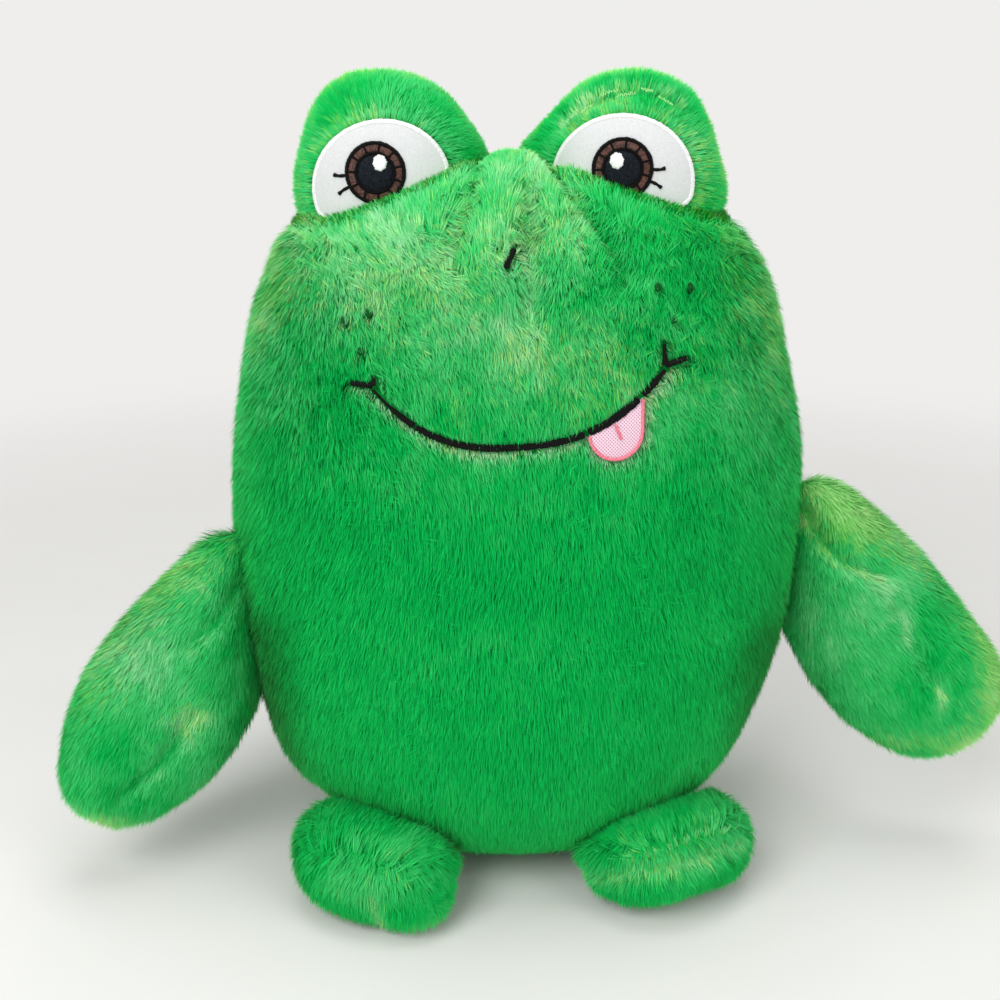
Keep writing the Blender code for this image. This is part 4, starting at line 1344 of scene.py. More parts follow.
def held_and_cut(form, roots, raised, length, random):
    """Lean and length of strands that something holds up or shortens: thread, the feet of the
    lobes, the white patches and the limbs' seams. The last result is how far each is held up, 0 to
    1; on a foot, whose strands it doesn't raise, it is painted light that makes the roots by the
    seam paler."""
    held_up_or_painted_light = np.zeros(len(roots))
    if form == "body":
        # At a lobe more and more strands lean back over its foot. The others lie flat on the crown.
        closeness = near_lobes(roots)
        leans_back = random.random(len(roots)) < closeness
        raised = np.where(leans_back, 1.05 + 0.3 * random.random(len(roots)), raised)
        length *= 1.0 - 0.50 * leans_back
        beside_thread = 1.0 - ease(thread_distance(roots), 0.0008, 0.0036)
        raised += 0.35 * beside_thread
        length *= 1.0 - 0.55 * beside_thread
        held_up_or_painted_light = np.maximum(beside_thread, closeness)
    elif form.endswith("lobe"):
        held_up_or_painted_light = 1.0 - ease(eye_white_distance(form.split("_")[0], roots), 0.0005, 0.0040)
        raised += 0.10 + 0.30 * held_up_or_painted_light
        length *= 1.0 - 0.40 * held_up_or_painted_light
    elif form.endswith("foot"):
        out = to_local(roots, places[form])[:, 0]
        # Painted light: the roots by a foot's seam are drawn paler, so the shade between foot and
        # belly doesn't darken them.
        held_up_or_painted_light = 0.8 * (1.0 - ease(out, 0.004, 0.022))
        toes = ease(out, 0.75 * foot_length, foot_length)
        length *= 1.0 + 0.30 * toes + 0.60 * bell(roots, *toe_tuft)
    else:
        length *= 0.6 + 0.4 * ease(to_local(roots, places[form])[:, 0], 0.002, 0.016)
    return raised, length, held_up_or_painted_light


print("a strand's lean runs from", round(math.degrees(root_lean)), "to",
      round(math.degrees(tip_lean)), "degrees")

# %% [markdown]
# ## Blades and their meshes
#
# A strand is a flat blade that tapers. A tube would need many more faces and look the same. Blender
# can add one face at a time, but a million strands need whole arrays, handed to the mesh in one go.

# %% Blades and their meshes
def blade_points(roots, steep, flat, length, pull, half, steps):
    """P(s) = root + length (s steep + s^2 / 2 (flat - steep)) + s^1.5 pull. A step that is given
    twice has one point on each side of the blade; any other step is a sharp end."""
    sides = [0.0 if steps.count(s) == 1 else -1.0 if steps.index(s) == number else 1.0
             for number, s in enumerate(steps)]
    points = np.stack([
        roots + length[:, None] * (s * steep + s * s / 2 * (flat - steep)) + s ** 1.5 * pull
        + half * side for s, side in zip(steps, sides)], axis=1)
    points[..., 2] = np.maximum(points[..., 2], floor_gap)
    return points


def places_in_table(pale, warm, held_up_or_painted_light, steps):
    """Column by paleness, in the cool or the warm half of the colour table, and row by height. A
    strand that is held up shows more of its pale tip, and a foot's strand by its seam does too, as
    painted light."""
    column = np.floor((pale / 2 + np.where(warm, 0.5, 0.0)) * table_columns)
    across = (column[:, None] + np.linspace(0.3, 0.7, len(steps))) / table_columns
    upwards = 1.0 - (1.0 - np.array(steps)) * (1.0 - 0.6 * held_up_or_painted_light)[:, None]
    return np.stack([across, upwards], axis=-1)


def new_pile(name, points, faces, table_places, shading, form):
    """Mesh of blades. The faces name the corners of one blade's triangles."""
    count, size = points.shape[:2]
    corner_points = (np.arange(count)[:, None] * size + np.array(faces)).ravel().astype(np.int32)
    triangles = len(corner_points) // 3
    mesh = bpy.data.meshes.new(name)
    mesh.vertices.add(count * size)
    mesh.vertices.foreach_set("co", points.astype(np.float32).ravel())
    mesh.loops.add(triangles * 3)
    mesh.loops.foreach_set("vertex_index", corner_points)
    mesh.polygons.add(triangles)
    mesh.polygons.foreach_set("loop_start", (np.arange(triangles) * 3).astype(np.int32))
    mesh.update(calc_edges=True)
    mesh.normals_split_custom_set_from_vertices(np.repeat(shading, size, axis=0))
    table = mesh.uv_layers.new(name="OFBake")
    flat_places = table_places.reshape(-1, 2)[corner_points]
    table.data.foreach_set("uv", flat_places.astype(np.float32).ravel())
    mesh.materials.append(pile)
    item = bpy.data.objects.new(name, mesh)
    scene.collection.objects.link(item)
    fasten(item, form)


print({name: len(values[-1]) // 3 for name, values in coats.items()}, "triangles to a strand")

# %% [markdown]
# ## One coat of one form
#
# All strands of a coat are made together, and every random number comes from one seeded stream, so
# each run grows the same toy. A blade is shaded mostly with the normal of the form under it,
# because a real pile is so fine that the eye sees the form and not the strand.

# %% One coat of one form
def grow(form, coat, count, comb, tint, seed, density):
    """Scatters roots, combs, leans, shortens and colours a strand on each, and makes the meshes. A
    strand leaves its root at the root's lean and ends at the tip's, each plus what raises it."""
    width, length_share, most, steps, faces = coats[coat]
    random = np.random.default_rng(seed)
    roots, normals = scatter(form, count, random, density)
    keep = ~covered(form, roots)
    roots, normals = roots[keep], normals[keep]
    count = len(roots)
    pale, yellow, lively = tint(roots, normals)
    broad, fine = drift(roots, broad_swirl), drift(roots, fine_swirl)
    lie = combed(comb(roots, normals), normals, broad, fine, lively, random)
    to_lock, lock_value = nearest_lock(roots, lock_spacing)
    to_tuft, tuft_value = nearest_lock(roots, tuft_spacing)
    raised = (0.08 * (lock_value - 0.5) + 0.09 * broad[:, 3]) * (0.4 + 0.6 * lively)
    raised += 0.22 * (random.random(count) - 0.5)
    raised -= 0.46 * ease(np.abs(lie[:, 1]), 0.35, 0.95)  # flatter where it runs fore or aft
    length = pile_length[form.split("_")[-1]] * length_share * (0.78 + 0.30 * random.random(count))
    length *= 0.94 + 0.12 * tuft_value
    length *= 1.0 - 0.35 * ease(-normals[:, 2], 0.75, 1.0)
    raised, length, held_up_or_painted_light = held_and_cut(form, roots, raised, length, random)
    first, last = root_lean + raised, np.maximum(tip_lean + raised, least_lean)
    steep = np.cos(first)[:, None] * lie + np.sin(first)[:, None] * normals
    flat = np.cos(last)[:, None] * lie + np.sin(last)[:, None] * normals
    pull = (lock_pull * to_lock + tuft_pull * to_tuft) * (0.50 + 0.35 * lively)[:, None]
    pull -= (pull * normals).sum(axis=1, keepdims=True) * normals * 0.85
    ways = length[:, None] * (steep + flat) / 2 + pull
    if form == "body" or form.endswith("lobe"):
        clear = room_on_way(form, roots, ways, random)
        length *= clear
        pull *= clear[:, None]
    beside = unit(np.cross(steep, normals))
    twist = most_twist * (2.0 * random.random(count) - 1.0)
    beside = (np.cos(twist)[:, None] * beside
              + np.sin(twist)[:, None] * unit(np.cross(steep, beside)))
    half = width / 2 * (0.75 + 0.5 * random.random(count))[:, None] * beside
    points = blade_points(roots, steep, flat, length, pull, half, steps)
    shading = unit(normals - (0.08 + 0.20 * lively)[:, None] * to_lock / lock_spacing
                   + 0.25 * (random.random((count, 3)) - 0.5))
    pale = pale + lively * (0.13 * broad[:, 0] + 0.12 * fine[:, 1] + 0.16 * (lock_value - 0.5)
                            + 0.08 * (tuft_value - 0.5))
    pale = np.clip(pale + 0.07 * (random.random(count) - 0.5), 0.02, 0.98)
    warmth = yellow + lively * (0.24 * broad[:, 1] + 0.30 * (lock_value - 0.5))
    warm = warmth + 0.40 * (random.random(count) - 0.5) > 0.5
    table_places = places_in_table(pale, warm, held_up_or_painted_light, steps)
    pieces = math.ceil(count / most)
    for number, chosen in enumerate(np.array_split(np.arange(count), pieces), start=1):
        new_pile(f"{form}_{coat}_pile_{number}", points[chosen], faces, table_places[chosen],
                 shading[chosen], form)
    print(form, coat, count, "strands in", pieces, "pieces")
    return count


# %% [markdown]
# ## Both coats of all forms
#
# The long coat gives the outline its fuzz, and three times as many short strands under it close the
# gaps, as the finer fibres of a real plush do. The back is plain and gets fewer.

# %% Both coats of all forms
def even(points):
    """The same number of strands everywhere."""
    return np.ones(len(points))


def more_in_front(points):
    """The back, which is plain, has a third fewer strands, and the forehead a third more."""
    forehead = ease(points[:, 2], 0.230, 0.270)
    return (1.0 + 0.35 * forehead) * (1.0 - 0.35 * ease(points[:, 1], 0.0, 0.05))


strands = 0
for coat, share, seed in (("long", 1.0, 100), ("short", 3.0, 500)):
    strands += grow("body", coat, int(strand_counts["body"] * share), comb_body, tint_body, seed,
                    more_in_front)
    for number, side in enumerate(signs):
        lobe, arm, foot, droop = f"{side}_lobe", f"{side}_arm", f"{side}_foot", arm_droop[side]
        for kind, form, comb, tint, more in (
            ("lobe", lobe, comb_lobe(side), tint_lobe(side), 11),
            ("arm", arm, comb_arm(arm, droop), tint_limb(arm, droop), 21),
            ("foot", foot, comb_foot(foot), tint_limb(foot, 0.0), 31),
        ):
            strands += grow(form, coat, int(strand_counts[kind] * share), comb, tint,
                            seed + more + number, even)
print("strands in all", strands)

# %% [markdown]
# ## Satin stitch
#
# A stitched line is many short threads laid side by side across it, so close that they make a
# raised band with fine ribs. The band is a closed tube along a path with a flattened section: half
# an ellipse above and nearly flat below. The ribs are a wave along the path that slants a little,
# as the machine's threads do.

# %% Satin stitch
thread_pitch = 0.00060  # a third coarser than real, so that the ribs show
samples_per_thread, band_corners = 5, 12
thread_slant = 0.30  # by how much of a thread a rib runs ahead from one side to the middle


def smooth_path(points, count):
    """Points at even steps along a chain, by length."""
    lengths = np.concatenate([[0.0], np.cumsum(np.linalg.norm(np.diff(points, axis=0), axis=1))])
    even_steps = np.linspace(0.0, lengths[-1], count)
    return np.column_stack([np.interp(even_steps, lengths, points[:, axis])
                            for axis in range(points.shape[1])])


def tube_faces(rows, around, closed=False):
    """Quads of a tube whose rings follow its path, with both ends of an open one capped."""
    faces = strip_faces(rows, around, wrap_rows=closed, wrap_columns=True)[:, ::-1].tolist()
    if not closed:
        faces.append(list(range(around)))
        faces.append(list(range((rows - 1) * around, rows * around))[::-1])
    return faces


def satin_band(form, path, half_width, height, closed=False, groove=0.0, lift=0.0, seed=1):
    """P(s, a) = path(s) + across * w(s) * cos a + normal * h * (sin a)^0.7 * (1 + ribs), for a
    above 0, and a flat underside; w is drawn in at the ends, and jitters from thread to thread."""
    flat = np.array(path, float)
    if closed:
        flat = np.vstack([flat, flat[:1]])
    total = np.linalg.norm(np.diff(flat, axis=0), axis=1).sum()
    threads = max(int(total / thread_pitch), 3)
    rows = threads * samples_per_thread + (0 if closed else 1)
    flat = smooth_path(flat, threads * samples_per_thread + 1)[:rows]
    centre, normals = laid_on(form, flat, lift)
    ahead = np.roll(centre, -1, axis=0) - np.roll(centre, 1, axis=0) if closed else np.gradient(
        centre, axis=0)
    beside = unit(np.cross(unit(ahead), normals))
    thread = np.arange(rows) // samples_per_thread
    jitter = 1.0 + 0.24 * (np.random.default_rng(seed).random(threads + 1)[thread] - 0.5)
    width = np.interp(np.linspace(0.0, 1.0, rows), np.linspace(0.0, 1.0, np.size(half_width)),
                      np.atleast_1d(half_width)) * jitter
    if not closed:
        row = np.arange(rows)
        end = np.minimum(row, rows - 1 - row) * thread_pitch / samples_per_thread
        width = width * np.sqrt(np.clip(end / (0.4 * width.mean()) + 0.05, 0.0, 1.0))
    angle = full_turn(band_corners)
    over = np.sin(angle) > 1e-6
    across = np.cos(angle)
    phase = np.arange(rows)[:, None] / samples_per_thread + thread_slant * across[None, :]
    ribs = 0.55 * (np.abs(np.sin(math.pi * phase)) - 0.6)
    dome = np.where(over, np.abs(np.sin(angle)) ** 0.7, -0.25 * np.abs(np.sin(angle)))
    dip = 1.0 - groove * np.exp(-(across / 0.18) ** 2)
    rise = height * dome[None, :] * np.where(over[None, :], (1.0 + ribs) * dip, 1.0)
    rise = rise * (width / np.max(width))[:, None] ** 0.5
    points = (centre[:, None, :] + beside[:, None, :] * (width[:, None] * across)[..., None]
              + normals[:, None, :] * rise[..., None])
    return points.reshape(-1, 3), tube_faces(rows, band_corners, closed)


print("threads every", 1000 * thread_pitch, "mm")

# %% [markdown]
# ## Filled figures
#
# Knots, discs and patches are fans: rings of points round a middle, laid on the form and raised to
# a dome. A flat disc pressed on with a modifier would not keep its edge on the curved face.

# %% Filled figures
def circle(centre, radius, turn):
    """Centre plus radius times the turn's cosine and sine."""
    return np.stack([centre[0] + radius * np.cos(turn), centre[1] + radius * np.sin(turn)], axis=-1)


def rings_and_turns(rings, columns):
    """Shares of the radius of a fan's rings, and the turns of its columns."""
    return np.linspace(0.0, 1.0, rings)[1:, None], full_turn(columns)[None, :]


def fan(form, centre, flat, rise, middle_rise, lift=0.0):
    """Rings of points, given in the front view, laid on a form and raised along its normals, and
    closed by one point in the middle."""
    base, normals = laid_on(form, flat, lift)
    middle, up = laid_on(form, np.array([[centre]], float), lift)
    points = np.concatenate([(middle + up * middle_rise).reshape(1, 3),
                             (base + normals * rise[..., None]).reshape(-1, 3)])
    rings, columns = flat.shape[:2]
    faces = (strip_faces(rings, columns, wrap_columns=True) + 1)[:, ::-1].tolist()
    column = np.arange(columns)
    faces += np.stack([np.zeros_like(column), column + 1, (column + 1) % columns + 1],
                      axis=-1)[:, ::-1].tolist()
    return points, faces


def joined(parts):
    """Several meshes as one list of points and faces."""
    points, faces, start = [], [], 0
    for some_points, some_faces in parts:
        points.append(some_points)
        faces += [[corner + start for corner in face] for face in some_faces]
        start += len(some_points)
    return np.concatenate(points), faces


def embroidered(name, parts, material, slot, *nodes):
    """One piece of thread or cloth on the body, in the place of the CAD nodes named."""
    item = new_mesh_object(name, *joined(parts), material)
    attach(item, "body")
    if nodes:
        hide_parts(*nodes)
    print(name, len(item.data.polygons), "faces")


print("a fan of 7 rings has", len(rings_and_turns(7, 20)[0]) * 20 + 1, "points")

# %% [markdown]
# ## Threads
#
# Embroidery thread is rayon: long smooth filaments, wound together, that shine in streaks. Sewing
# thread is dull cotton. Both are plain shaders with a fine mottling, which stands for the
# filaments.

# %% Threads
def rayon(name, dark, light, roughness=0.42, sheen=0.10, specular=0.5):
    """Embroidery thread: a smooth, shiny filament, whose colour shifts a little from thread to
    thread. The grain is drawn at 0.8 mm, coarser than real, so that it shows."""
    return speckled(name, roughness, dark, light, 1300.0, dent=0.5, sheen=sheen,
                    specular=specular)[0]


black_rayon = rayon("black_rayon_thread", "010101", "0C0B09", roughness=0.6, specular=0.14,
                    sheen=0.0)
brown_rayon = rayon("brown_rayon_thread", "1C0D0A", "6B4034", specular=0.3)
navy_rayon = rayon("navy_black_rayon_thread", "010102", "121B26", roughness=0.6, specular=0.12,
                   sheen=0.0)
white_rayon = rayon("white_rayon_thread", "E2E4E4", "F6F6F6")
pink_rayon = rayon("coral_rayon_thread", "DE6479", "F08A9B")
olive_cotton = rayon("olive_cotton_thread", "083C16", "0F5C22", roughness=0.8, specular=0.1,
                     sheen=0.0)
green_cotton = rayon("green_sewing_thread", "8ADC7A", "C0F0A8", roughness=0.7)
print(len(bpy.data.materials), "materials so far")

# %% [markdown]
# ## Mouth, nostril and freckles
#
# The mouth is two rows of satin stitch side by side, which leaves a faint groove down its middle.
# It was sewn in four lengths, with a little pile between them, and thins out towards its right
# end. Short stitches turn up and out at both corners.

# %% Mouth, nostril and freckles
mouth_lengths = (  # from and to, as shares of the mouth's width, and half widths along the length
    (0.000, 0.145, (0.0005, 0.0006, 0.0011, 0.0012)),
    (0.150, 0.722, (0.0011, 0.0013, 0.0013, 0.0012, 0.0013)),
    (0.735, 0.908, (0.0014, 0.0015, 0.0014)),
    (0.922, 1.000, (0.0012, 0.0013, 0.0007)),
)
stitch_lift = 0.0004
mouth_bands = []
for number, (start, end, half_widths) in enumerate(mouth_lengths):
    x = mouth_width * (np.linspace(start, end, 30) - 0.5)
    mouth_bands.append(satin_band("body", np.column_stack([x, mouth_line(x)]), half_widths, 0.0011,
                                  groove=0.55, lift=stitch_lift, seed=40 + number))
embroidered("mouth_thread", mouth_bands, black_rayon, "black_thread", "mouth_stitch")
for number, side in enumerate(signs):
    outward, upward = corner_paths[2 * number:2 * number + 2]
    widths = ([0.0011, 0.0012, 0.0010], [0.0013, 0.0009, 0.0005])
    embroidered(f"{side}_mouth_corner_thread",
                [satin_band("body", smooth_path(path, 8), half, 0.0010, lift=stitch_lift, seed=5)
                 for path, half in zip((outward, upward), widths)],
                black_rayon, "black_thread", f"{side}_mouth_corner_stitch")

split = nostril_middle - 0.05 * nostril_way
embroidered("nostril_thread",
            [satin_band("body", np.array([nostril_path[0], split + 0.10 * nostril_way]),
                        [0.0011, 0.0011, 0.0009], 0.0012, lift=stitch_lift, seed=7),
             satin_band("body",
                        np.array([split - 0.06 * nostril_way + [0.0004, 0.0], nostril_path[1]]),
                        [0.0008, 0.0010, 0.0012], 0.0012, lift=stitch_lift, seed=8)],
            black_rayon, "black_thread", "nostril_stitch")


knot_share, knot_height = 0.7, 0.0011  # a share of the CAD freckle, whose edge the pile covers


def knot(form, centre, radius, height):
    """Dome of wound thread: height * sqrt(1 - r^2), with shallow turns that wind round it."""
    share, turn = rings_and_turns(7, 20)
    rise = height * (np.sqrt(np.maximum(1.0 - share ** 2, 0.0))
                     + 0.12 * np.sin(6.0 * math.pi * share + turn))
    return fan(form, centre, circle(centre, radius * share, turn), rise, height)


for side, sign in signs.items():
    for number, (out, drop) in enumerate(freckles[side], start=1):
        embroidered(f"{side}_freckle_knot_{number}",
                    [knot("body", (sign * out, body_height - drop), freckle_radius * knot_share,
                          knot_height)],
                    olive_cotton, "olive_thread", f"{side}_freckle_{number}")

# %% [markdown]
# ## Weave of the tongue
#
# The tongue is a scrap of pale pink woven fabric with a dotted weave. A picture of the weave would
# do, but two sine waves across one another, read from a UV map in millimetres, give the dots at any
# size and dent the cloth at the same places.

# %% Weave of the tongue
weave_pitch = 0.0013  # about twice the real one, so that the dots show
pink_weave, tree, shader = new_material("pale_pink_weave", 0.7, sheen=0.2)
weave_place = add_node(tree, "ShaderNodeUVMap", uv_map="weave")
weave_axes = add_node(tree, "ShaderNodeSeparateXYZ", {"Vector": weave_place.outputs["UV"]})
waves = []
for axis in ("X", "Y"):
    turns = add_node(tree, "ShaderNodeMath", {0: weave_axes.outputs[axis],
                                              1: 2.0 * math.pi * 0.001 / weave_pitch},
                     operation="MULTIPLY")
    waves.append(add_node(tree, "ShaderNodeMath", {0: turns.outputs[0]}, operation="SINE"))
dots = add_node(tree, "ShaderNodeMath", {0: waves[0].outputs[0], 1: waves[1].outputs[0]},
                operation="MULTIPLY")
dots_up = add_node(tree, "ShaderNodeMapRange", {"Value": dots.outputs[0], "From Min": -1.0})
pinks = add_node(tree, "ShaderNodeValToRGB", {"Fac": dots_up.outputs["Result"]},
                 stops=[(0.0, "96587C"), (0.36, "E2B6C8"), (0.70, "F0D4E0")])
weave_dent = add_node(tree, "ShaderNodeBump", {"Height": dots_up.outputs["Result"], "Strength": 0.5,
                                               "Distance": 0.0002})
tree.links.new(pinks.outputs["Color"], shader.inputs["Base Color"])
tree.links.new(weave_dent.outputs["Normal"], shader.inputs["Normal"])
print("weave with", round(0.001 / weave_pitch, 2), "dots to a millimetre")

# %% [markdown]
# ## Tongue
#
# The patch is cut to a U, pushed under the mouth stitch and edged all round with satin stitch. The
# fabric is a grid that fans out between its top edge, which follows the mouth, and its rounded
# bottom, so its rows and columns serve as weave as well.

# %% Tongue
cloth_lift, cloth_puff, cloth_tuck = 0.0003, 0.0007, 0.0006
tongue_line_length, tongue_line_lean = 0.0062, math.radians(22.0)

rows, columns = 18, 40
angle = np.linspace(math.pi, 2.0 * math.pi, columns)[None, :]
bottom = tongue_outline(angle, inset=tongue_border_width * 0.5)  # the sides are columns of the grid
under_mouth = mouth_line(bottom[..., 0]) - mouth_stitch_width / 2 + cloth_tuck
top = np.stack([bottom[..., 0], under_mouth], axis=-1)
share = np.linspace(0.0, 1.0, rows)[:, None, None]
flat = top * (1.0 - share) + bottom * share
base, normals = laid_on("body", flat, cloth_lift)
puff = cloth_puff * np.sin(math.pi * np.clip(share[..., 0], 0.02, 1.0)) ** 0.5
puff = puff * np.sin(angle - math.pi) ** 0.5
cloth = base + normals * puff[..., None]
tongue = new_mesh_object("tongue_cloth", cloth.reshape(-1, 3), strip_faces(rows, columns),
                         pink_weave)
weave = tongue.data.uv_layers.new(name="weave")
corner_points = np.empty(len(tongue.data.loops), dtype=np.int32)
tongue.data.loops.foreach_get("vertex_index", corner_points)
weave_places = flat.reshape(-1, 2)[corner_points] / 0.001  # in mm
weave.data.foreach_set("uv", weave_places.astype(np.float32).ravel())
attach(tongue, "body")
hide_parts("tongue_patch")

edge = tongue_outline(np.linspace(math.pi, 2.0 * math.pi, 60), inset=tongue_border_width / 2)
edge = np.vstack([edge, [edge[-1, 0], mouth_line(edge[-1, 0]) - mouth_stitch_width / 2]])
embroidered("tongue_edge_thread",
            [satin_band("body", edge, tongue_border_width / 2, 0.0007, lift=0.0006, seed=11)],
            pink_rayon, "pink_thread", "tongue_border")
line_top = np.array([tongue_place - 0.0004, mouth_line(tongue_place) - mouth_stitch_width + 0.0006])
line_way = tongue_line_length * np.array([math.sin(tongue_line_lean), -math.cos(tongue_line_lean)])
embroidered("tongue_line_thread",
            [satin_band("body", np.array([line_top, line_top + line_way]), 0.00055, 0.0006,
                        lift=0.0013, seed=12)],
            pink_rayon, "pink_thread", "tongue_line_stitch")

# %% [markdown]
# ## Eye whites
#
# The white is smooth knitted fabric, held down by a band of white satin stitch round its edge. It
# was sewn on flat, and the filling behind it makes it bulge with the lobe, so it is a fan laid on
# the lobe's form. Its lower edge is under the pile of the face.

# %% Eye whites
white_knit = speckled("white_brushed_knit", 0.8, "CDCFCF", "DADCDC", 1500.0, detail=3.0, spread=0.2,
                      dent=0.20, sheen=0.3)[0]
white_lift, white_puff, white_edge_share = 0.0002, 0.0008, 0.970


def patch(side):
    """Fan from the middle of the white to its outline, puffed by puff * (1 - r^2)."""
    share, turn = rings_and_turns(28, 120)
    return fan(f"{side}_lobe", eye_white_centre[side], eye_white_outline(side, turn, share),
               white_puff * (1.0 - share ** 2), white_puff, white_lift)


for side in signs:
    embroidered(f"{side}_eye_white_cloth", [patch(side)], white_knit, "white_applique",
                f"{side}_eye_white")
    edge = eye_white_outline(side, full_turn(200), white_edge_share)
    embroidered(f"{side}_eye_white_edge_thread",
                [satin_band(f"{side}_lobe", edge, 0.0009, 0.0004, closed=True, lift=0.00022,
                            seed=21)],
                white_rayon, "white_applique")

# %% [markdown]
# ## Irises, pupils, highlights and lashes
#
# The iris is embroidered on the white: a black ring, a ring of brown segments between black
# spokes, the black pupil, and a white highlight. Two short lashes stand off the outer side. Real
# thread lies in layers, so each later figure here is a little higher than the one that it crosses.

# %% Irises, pupils, highlights and lashes
iris_lift = 0.0008
ring_outer_width, segment_inner, segment_outer = 0.0017, 0.0075, 0.0104
spoke_count, spoke_half_width, first_spoke = 11, 0.00050, 0.25
glint_shift = {"left": (-0.0022, 0.0032), "right": (0.0019, 0.0037)}
glint_half_width, glint_half_height = 0.0027, 0.0031


def thread_disc(form, centre, half_width, half_height, rise, lift, raggedness, rows=22, columns=72):
    """Filled satin: rise * sqrt(1 - r^4), ribbed across by a wave in X. The edge is as ragged as
    its threads end: the radius takes a product of two sines of the turn."""
    share, turn = rings_and_turns(rows, columns)
    ragged = 1.0 + raggedness * np.sin(5.0 * turn + 1.0) * np.sin(13.0 * turn)
    flat = np.stack([centre[0] + half_width * share * ragged * np.cos(turn),
                     centre[1] + half_height * share * ragged * np.sin(turn)], axis=-1)
    ribs = 0.10 * np.abs(np.sin(math.pi * flat[..., 0] / (2 * thread_pitch)))
    up = rise * (np.sqrt(1.0 - share ** 4) + ribs * (1.0 - share ** 4))
    return fan(form, centre, flat, up, rise, lift)


for side, sign in signs.items():
    form, centre = f"{side}_lobe", np.array(iris_centre[side])
    turn = full_turn(160)
    brown = satin_band(form, circle(centre, (segment_inner + segment_outer) / 2, turn),
                       (segment_outer - segment_inner) / 2 + 0.0006, 0.0006, closed=True,
                       lift=iris_lift, seed=31)
    embroidered(f"{side}_iris_thread", [brown], brown_rayon, "brown_thread", f"{side}_iris")
    rim = satin_band(form, circle(centre, iris_radius - ring_outer_width / 2, turn),
                     ring_outer_width / 2, 0.0010, closed=True, lift=iris_lift, seed=32)
    inner = satin_band(form, circle(centre, pupil_radius, turn), 0.0007, 0.0012, closed=True,
                       lift=iris_lift, seed=33)
    spokes = []
    for angle in np.arange(spoke_count) * 2.0 * math.pi / spoke_count + first_spoke:
        way = np.array([math.cos(angle), math.sin(angle)])
        spokes.append(satin_band(form, np.array([centre + way * (segment_inner - 0.0004),
                                                 centre + way * (segment_outer + 0.0006)]),
                                 spoke_half_width, 0.0011, lift=iris_lift, seed=34))
    embroidered(f"{side}_iris_ring_thread", [rim, inner] + spokes, black_rayon, "black_thread")
    embroidered(f"{side}_pupil_thread",
                [thread_disc(form, centre, pupil_radius, pupil_radius, 0.0011, iris_lift, 0.02)],
                navy_rayon, "black_thread", f"{side}_pupil")
    embroidered(f"{side}_eye_highlight_thread",
                [thread_disc(form, centre + glint_shift[side], glint_half_width, glint_half_height,
                             0.0009, iris_lift + 0.0009, 0.10, rows=12, columns=48)],
                white_rayon, "white_thread", f"{side}_eye_highlight")
    for lash, fall in lash_falls.items():
        way = np.array([sign * math.cos(fall), -math.sin(fall)])
        root = centre + way * (iris_radius - 0.0004)
        bent = np.array([root, root + way * lash_length * 0.55,
                         root + way * lash_length + [0.0, 0.0006 if lash == "upper" else -0.0006]])
        embroidered(f"{side}_{lash}_lash_thread",
                    [satin_band(form, smooth_path(bent, 12), [0.0007, 0.0006, 0.0008], 0.0009,
                                lift=0.0006, seed=35)],
                    black_rayon, "black_thread", f"{side}_{lash}_lash")

# %% [markdown]
# ## Stitches of the upper eyelid
#
# Over the eye on the toy's left a line of pale stitches gathers the lobe's pile into a shallow
# crease. The threads wander a little and are half buried, so they're thin round tubes that float
# at half the height of the pile, where only short pieces of them show.

# %% Stitches of the upper eyelid
def fine_thread(form, path, radius, lift, wander, seed):
    """Round tube: path(s) + radius * (cos a across + sin a normal), whose path wanders to and fro
    as a sum of two sines."""
    random = np.random.default_rng(seed)
    flat = smooth_path(np.array(path, float), 70)
    s = np.linspace(0.0, 1.0, len(flat))
    phase = random.random(4) * 6.28  # four starts, each anywhere in a turn
    waves = np.sin(38.0 * s + phase[0]) + 0.6 * np.sin(83.0 * s + phase[1])
    flat = flat + wander * np.column_stack([0.5 * np.cos(61.0 * s + phase[2]), waves])
    centre, normals = laid_on(form, flat, 0.0)
    centre = centre + normals * (lift + 0.5 * wander * np.sin(47.0 * s + phase[3]))[:, None]
    beside = unit(np.cross(unit(np.gradient(centre, axis=0)), normals))
    turn = full_turn(6)
    points = (centre[:, None, :] + radius * (np.cos(turn)[None, :, None] * beside[:, None, :]
                                             + np.sin(turn)[None, :, None] * normals[:, None, :]))
    return points.reshape(-1, 3), tube_faces(len(flat), len(turn))


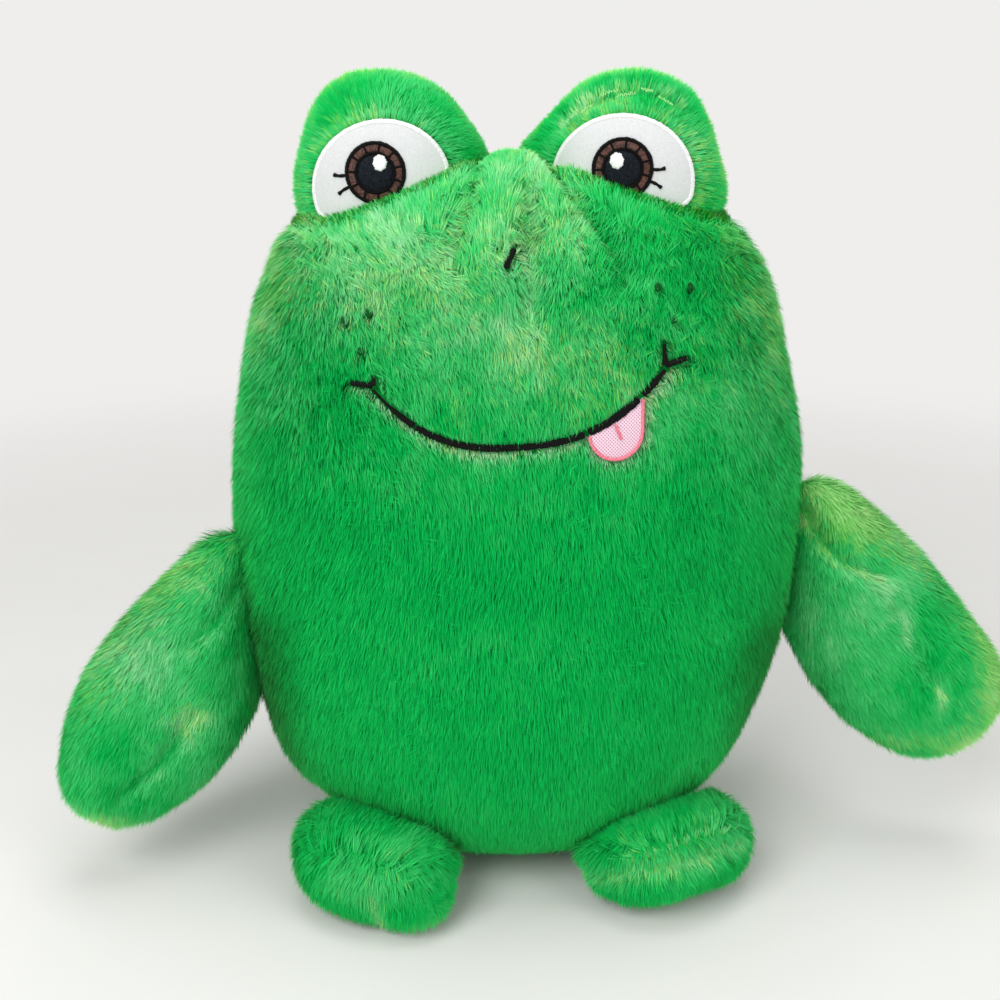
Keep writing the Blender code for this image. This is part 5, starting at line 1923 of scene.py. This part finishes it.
eyelid_line = ((-0.0250, 0.0200), (-0.0170, 0.0270), (-0.0080, 0.0305), (0.0020, 0.0310),
               (0.0095, 0.0290), (0.0150, 0.0255))
crease_radius, crease_lift, crease_wander, crease_stagger = 0.00012, 0.0036, 0.00035, 0.0008
eyelid_bits = []
for number, (start, end) in enumerate(((0.02, 0.16), (0.20, 0.31), (0.36, 0.52), (0.50, 0.66),
                                       (0.71, 0.80), (0.84, 0.97))):
    bit = smooth_path(np.array(eyelid_line), 101)[int(100 * start):int(100 * end) + 1]
    bit = bit + [0.0, crease_stagger * (-1) ** number]
    eyelid_bits.append(fine_thread("left_lobe", bit, crease_radius, crease_lift, crease_wander,
                                   60 + number))
embroidered("eyelid_crease_thread", eyelid_bits, green_cotton, "green_fur")

# %% [markdown]
# ## Closing seam and filament
#
# At the back the seam where the filling went in is closed by hand with ladder stitches, which the
# pile nearly hides. At the side of one lobe a short clear nylon filament is left from a swing tag;
# the CAD model has its true shape, so it only gets its material.

# %% Closing seam and filament
seam_low, seam_high, ladder_count = 0.0600, 0.1200, 13
ladder_half_width, ladder_radius, ladder_rise = 0.0024, 0.00035, 0.0006
ladder = []
across, turn = np.linspace(-1.0, 1.0, 9), full_turn(8)
ring = ladder_radius * np.stack([np.zeros_like(turn), np.cos(turn), np.sin(turn)], axis=-1)
for height in np.linspace(seam_low, seam_high, ladder_count):
    x = across * ladder_half_width
    z = np.full_like(x, height) + ladder_rise * across
    y = -front_of_body(x, z) - 0.0010 + ladder_rise * (1.0 - across ** 2)
    line = np.column_stack([x, y, z])
    points = (line[:, None, :] + ring[None, :, :]).reshape(-1, 3)
    ladder.append((points, tube_faces(len(line), len(turn))))
embroidered("closing_ladder_thread", ladder, green_cotton, "green_fur", "closing_seam_thread")

nylon, tree, shader = speckled("clear_nylon_filament", 0.18, "E6EBEC", "FAFCFC", 900.0, spread=0.2,
                               specular=0.5)
shader.inputs["IOR"].default_value = 1.53
shader.inputs["Transmission Weight"].default_value = 0.45
filament = frame["nodes"]["tag_filament"]
filament.data.materials.clear()
filament.data.materials.append(nylon)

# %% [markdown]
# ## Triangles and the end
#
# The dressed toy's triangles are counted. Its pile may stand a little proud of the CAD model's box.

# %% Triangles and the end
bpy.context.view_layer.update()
triangles = sum(len(item.data.loops) - 2 * len(item.data.polygons)
                for item in scene.objects if item.type == "MESH" and not item.hide_render)
print(triangles, "triangles in all")
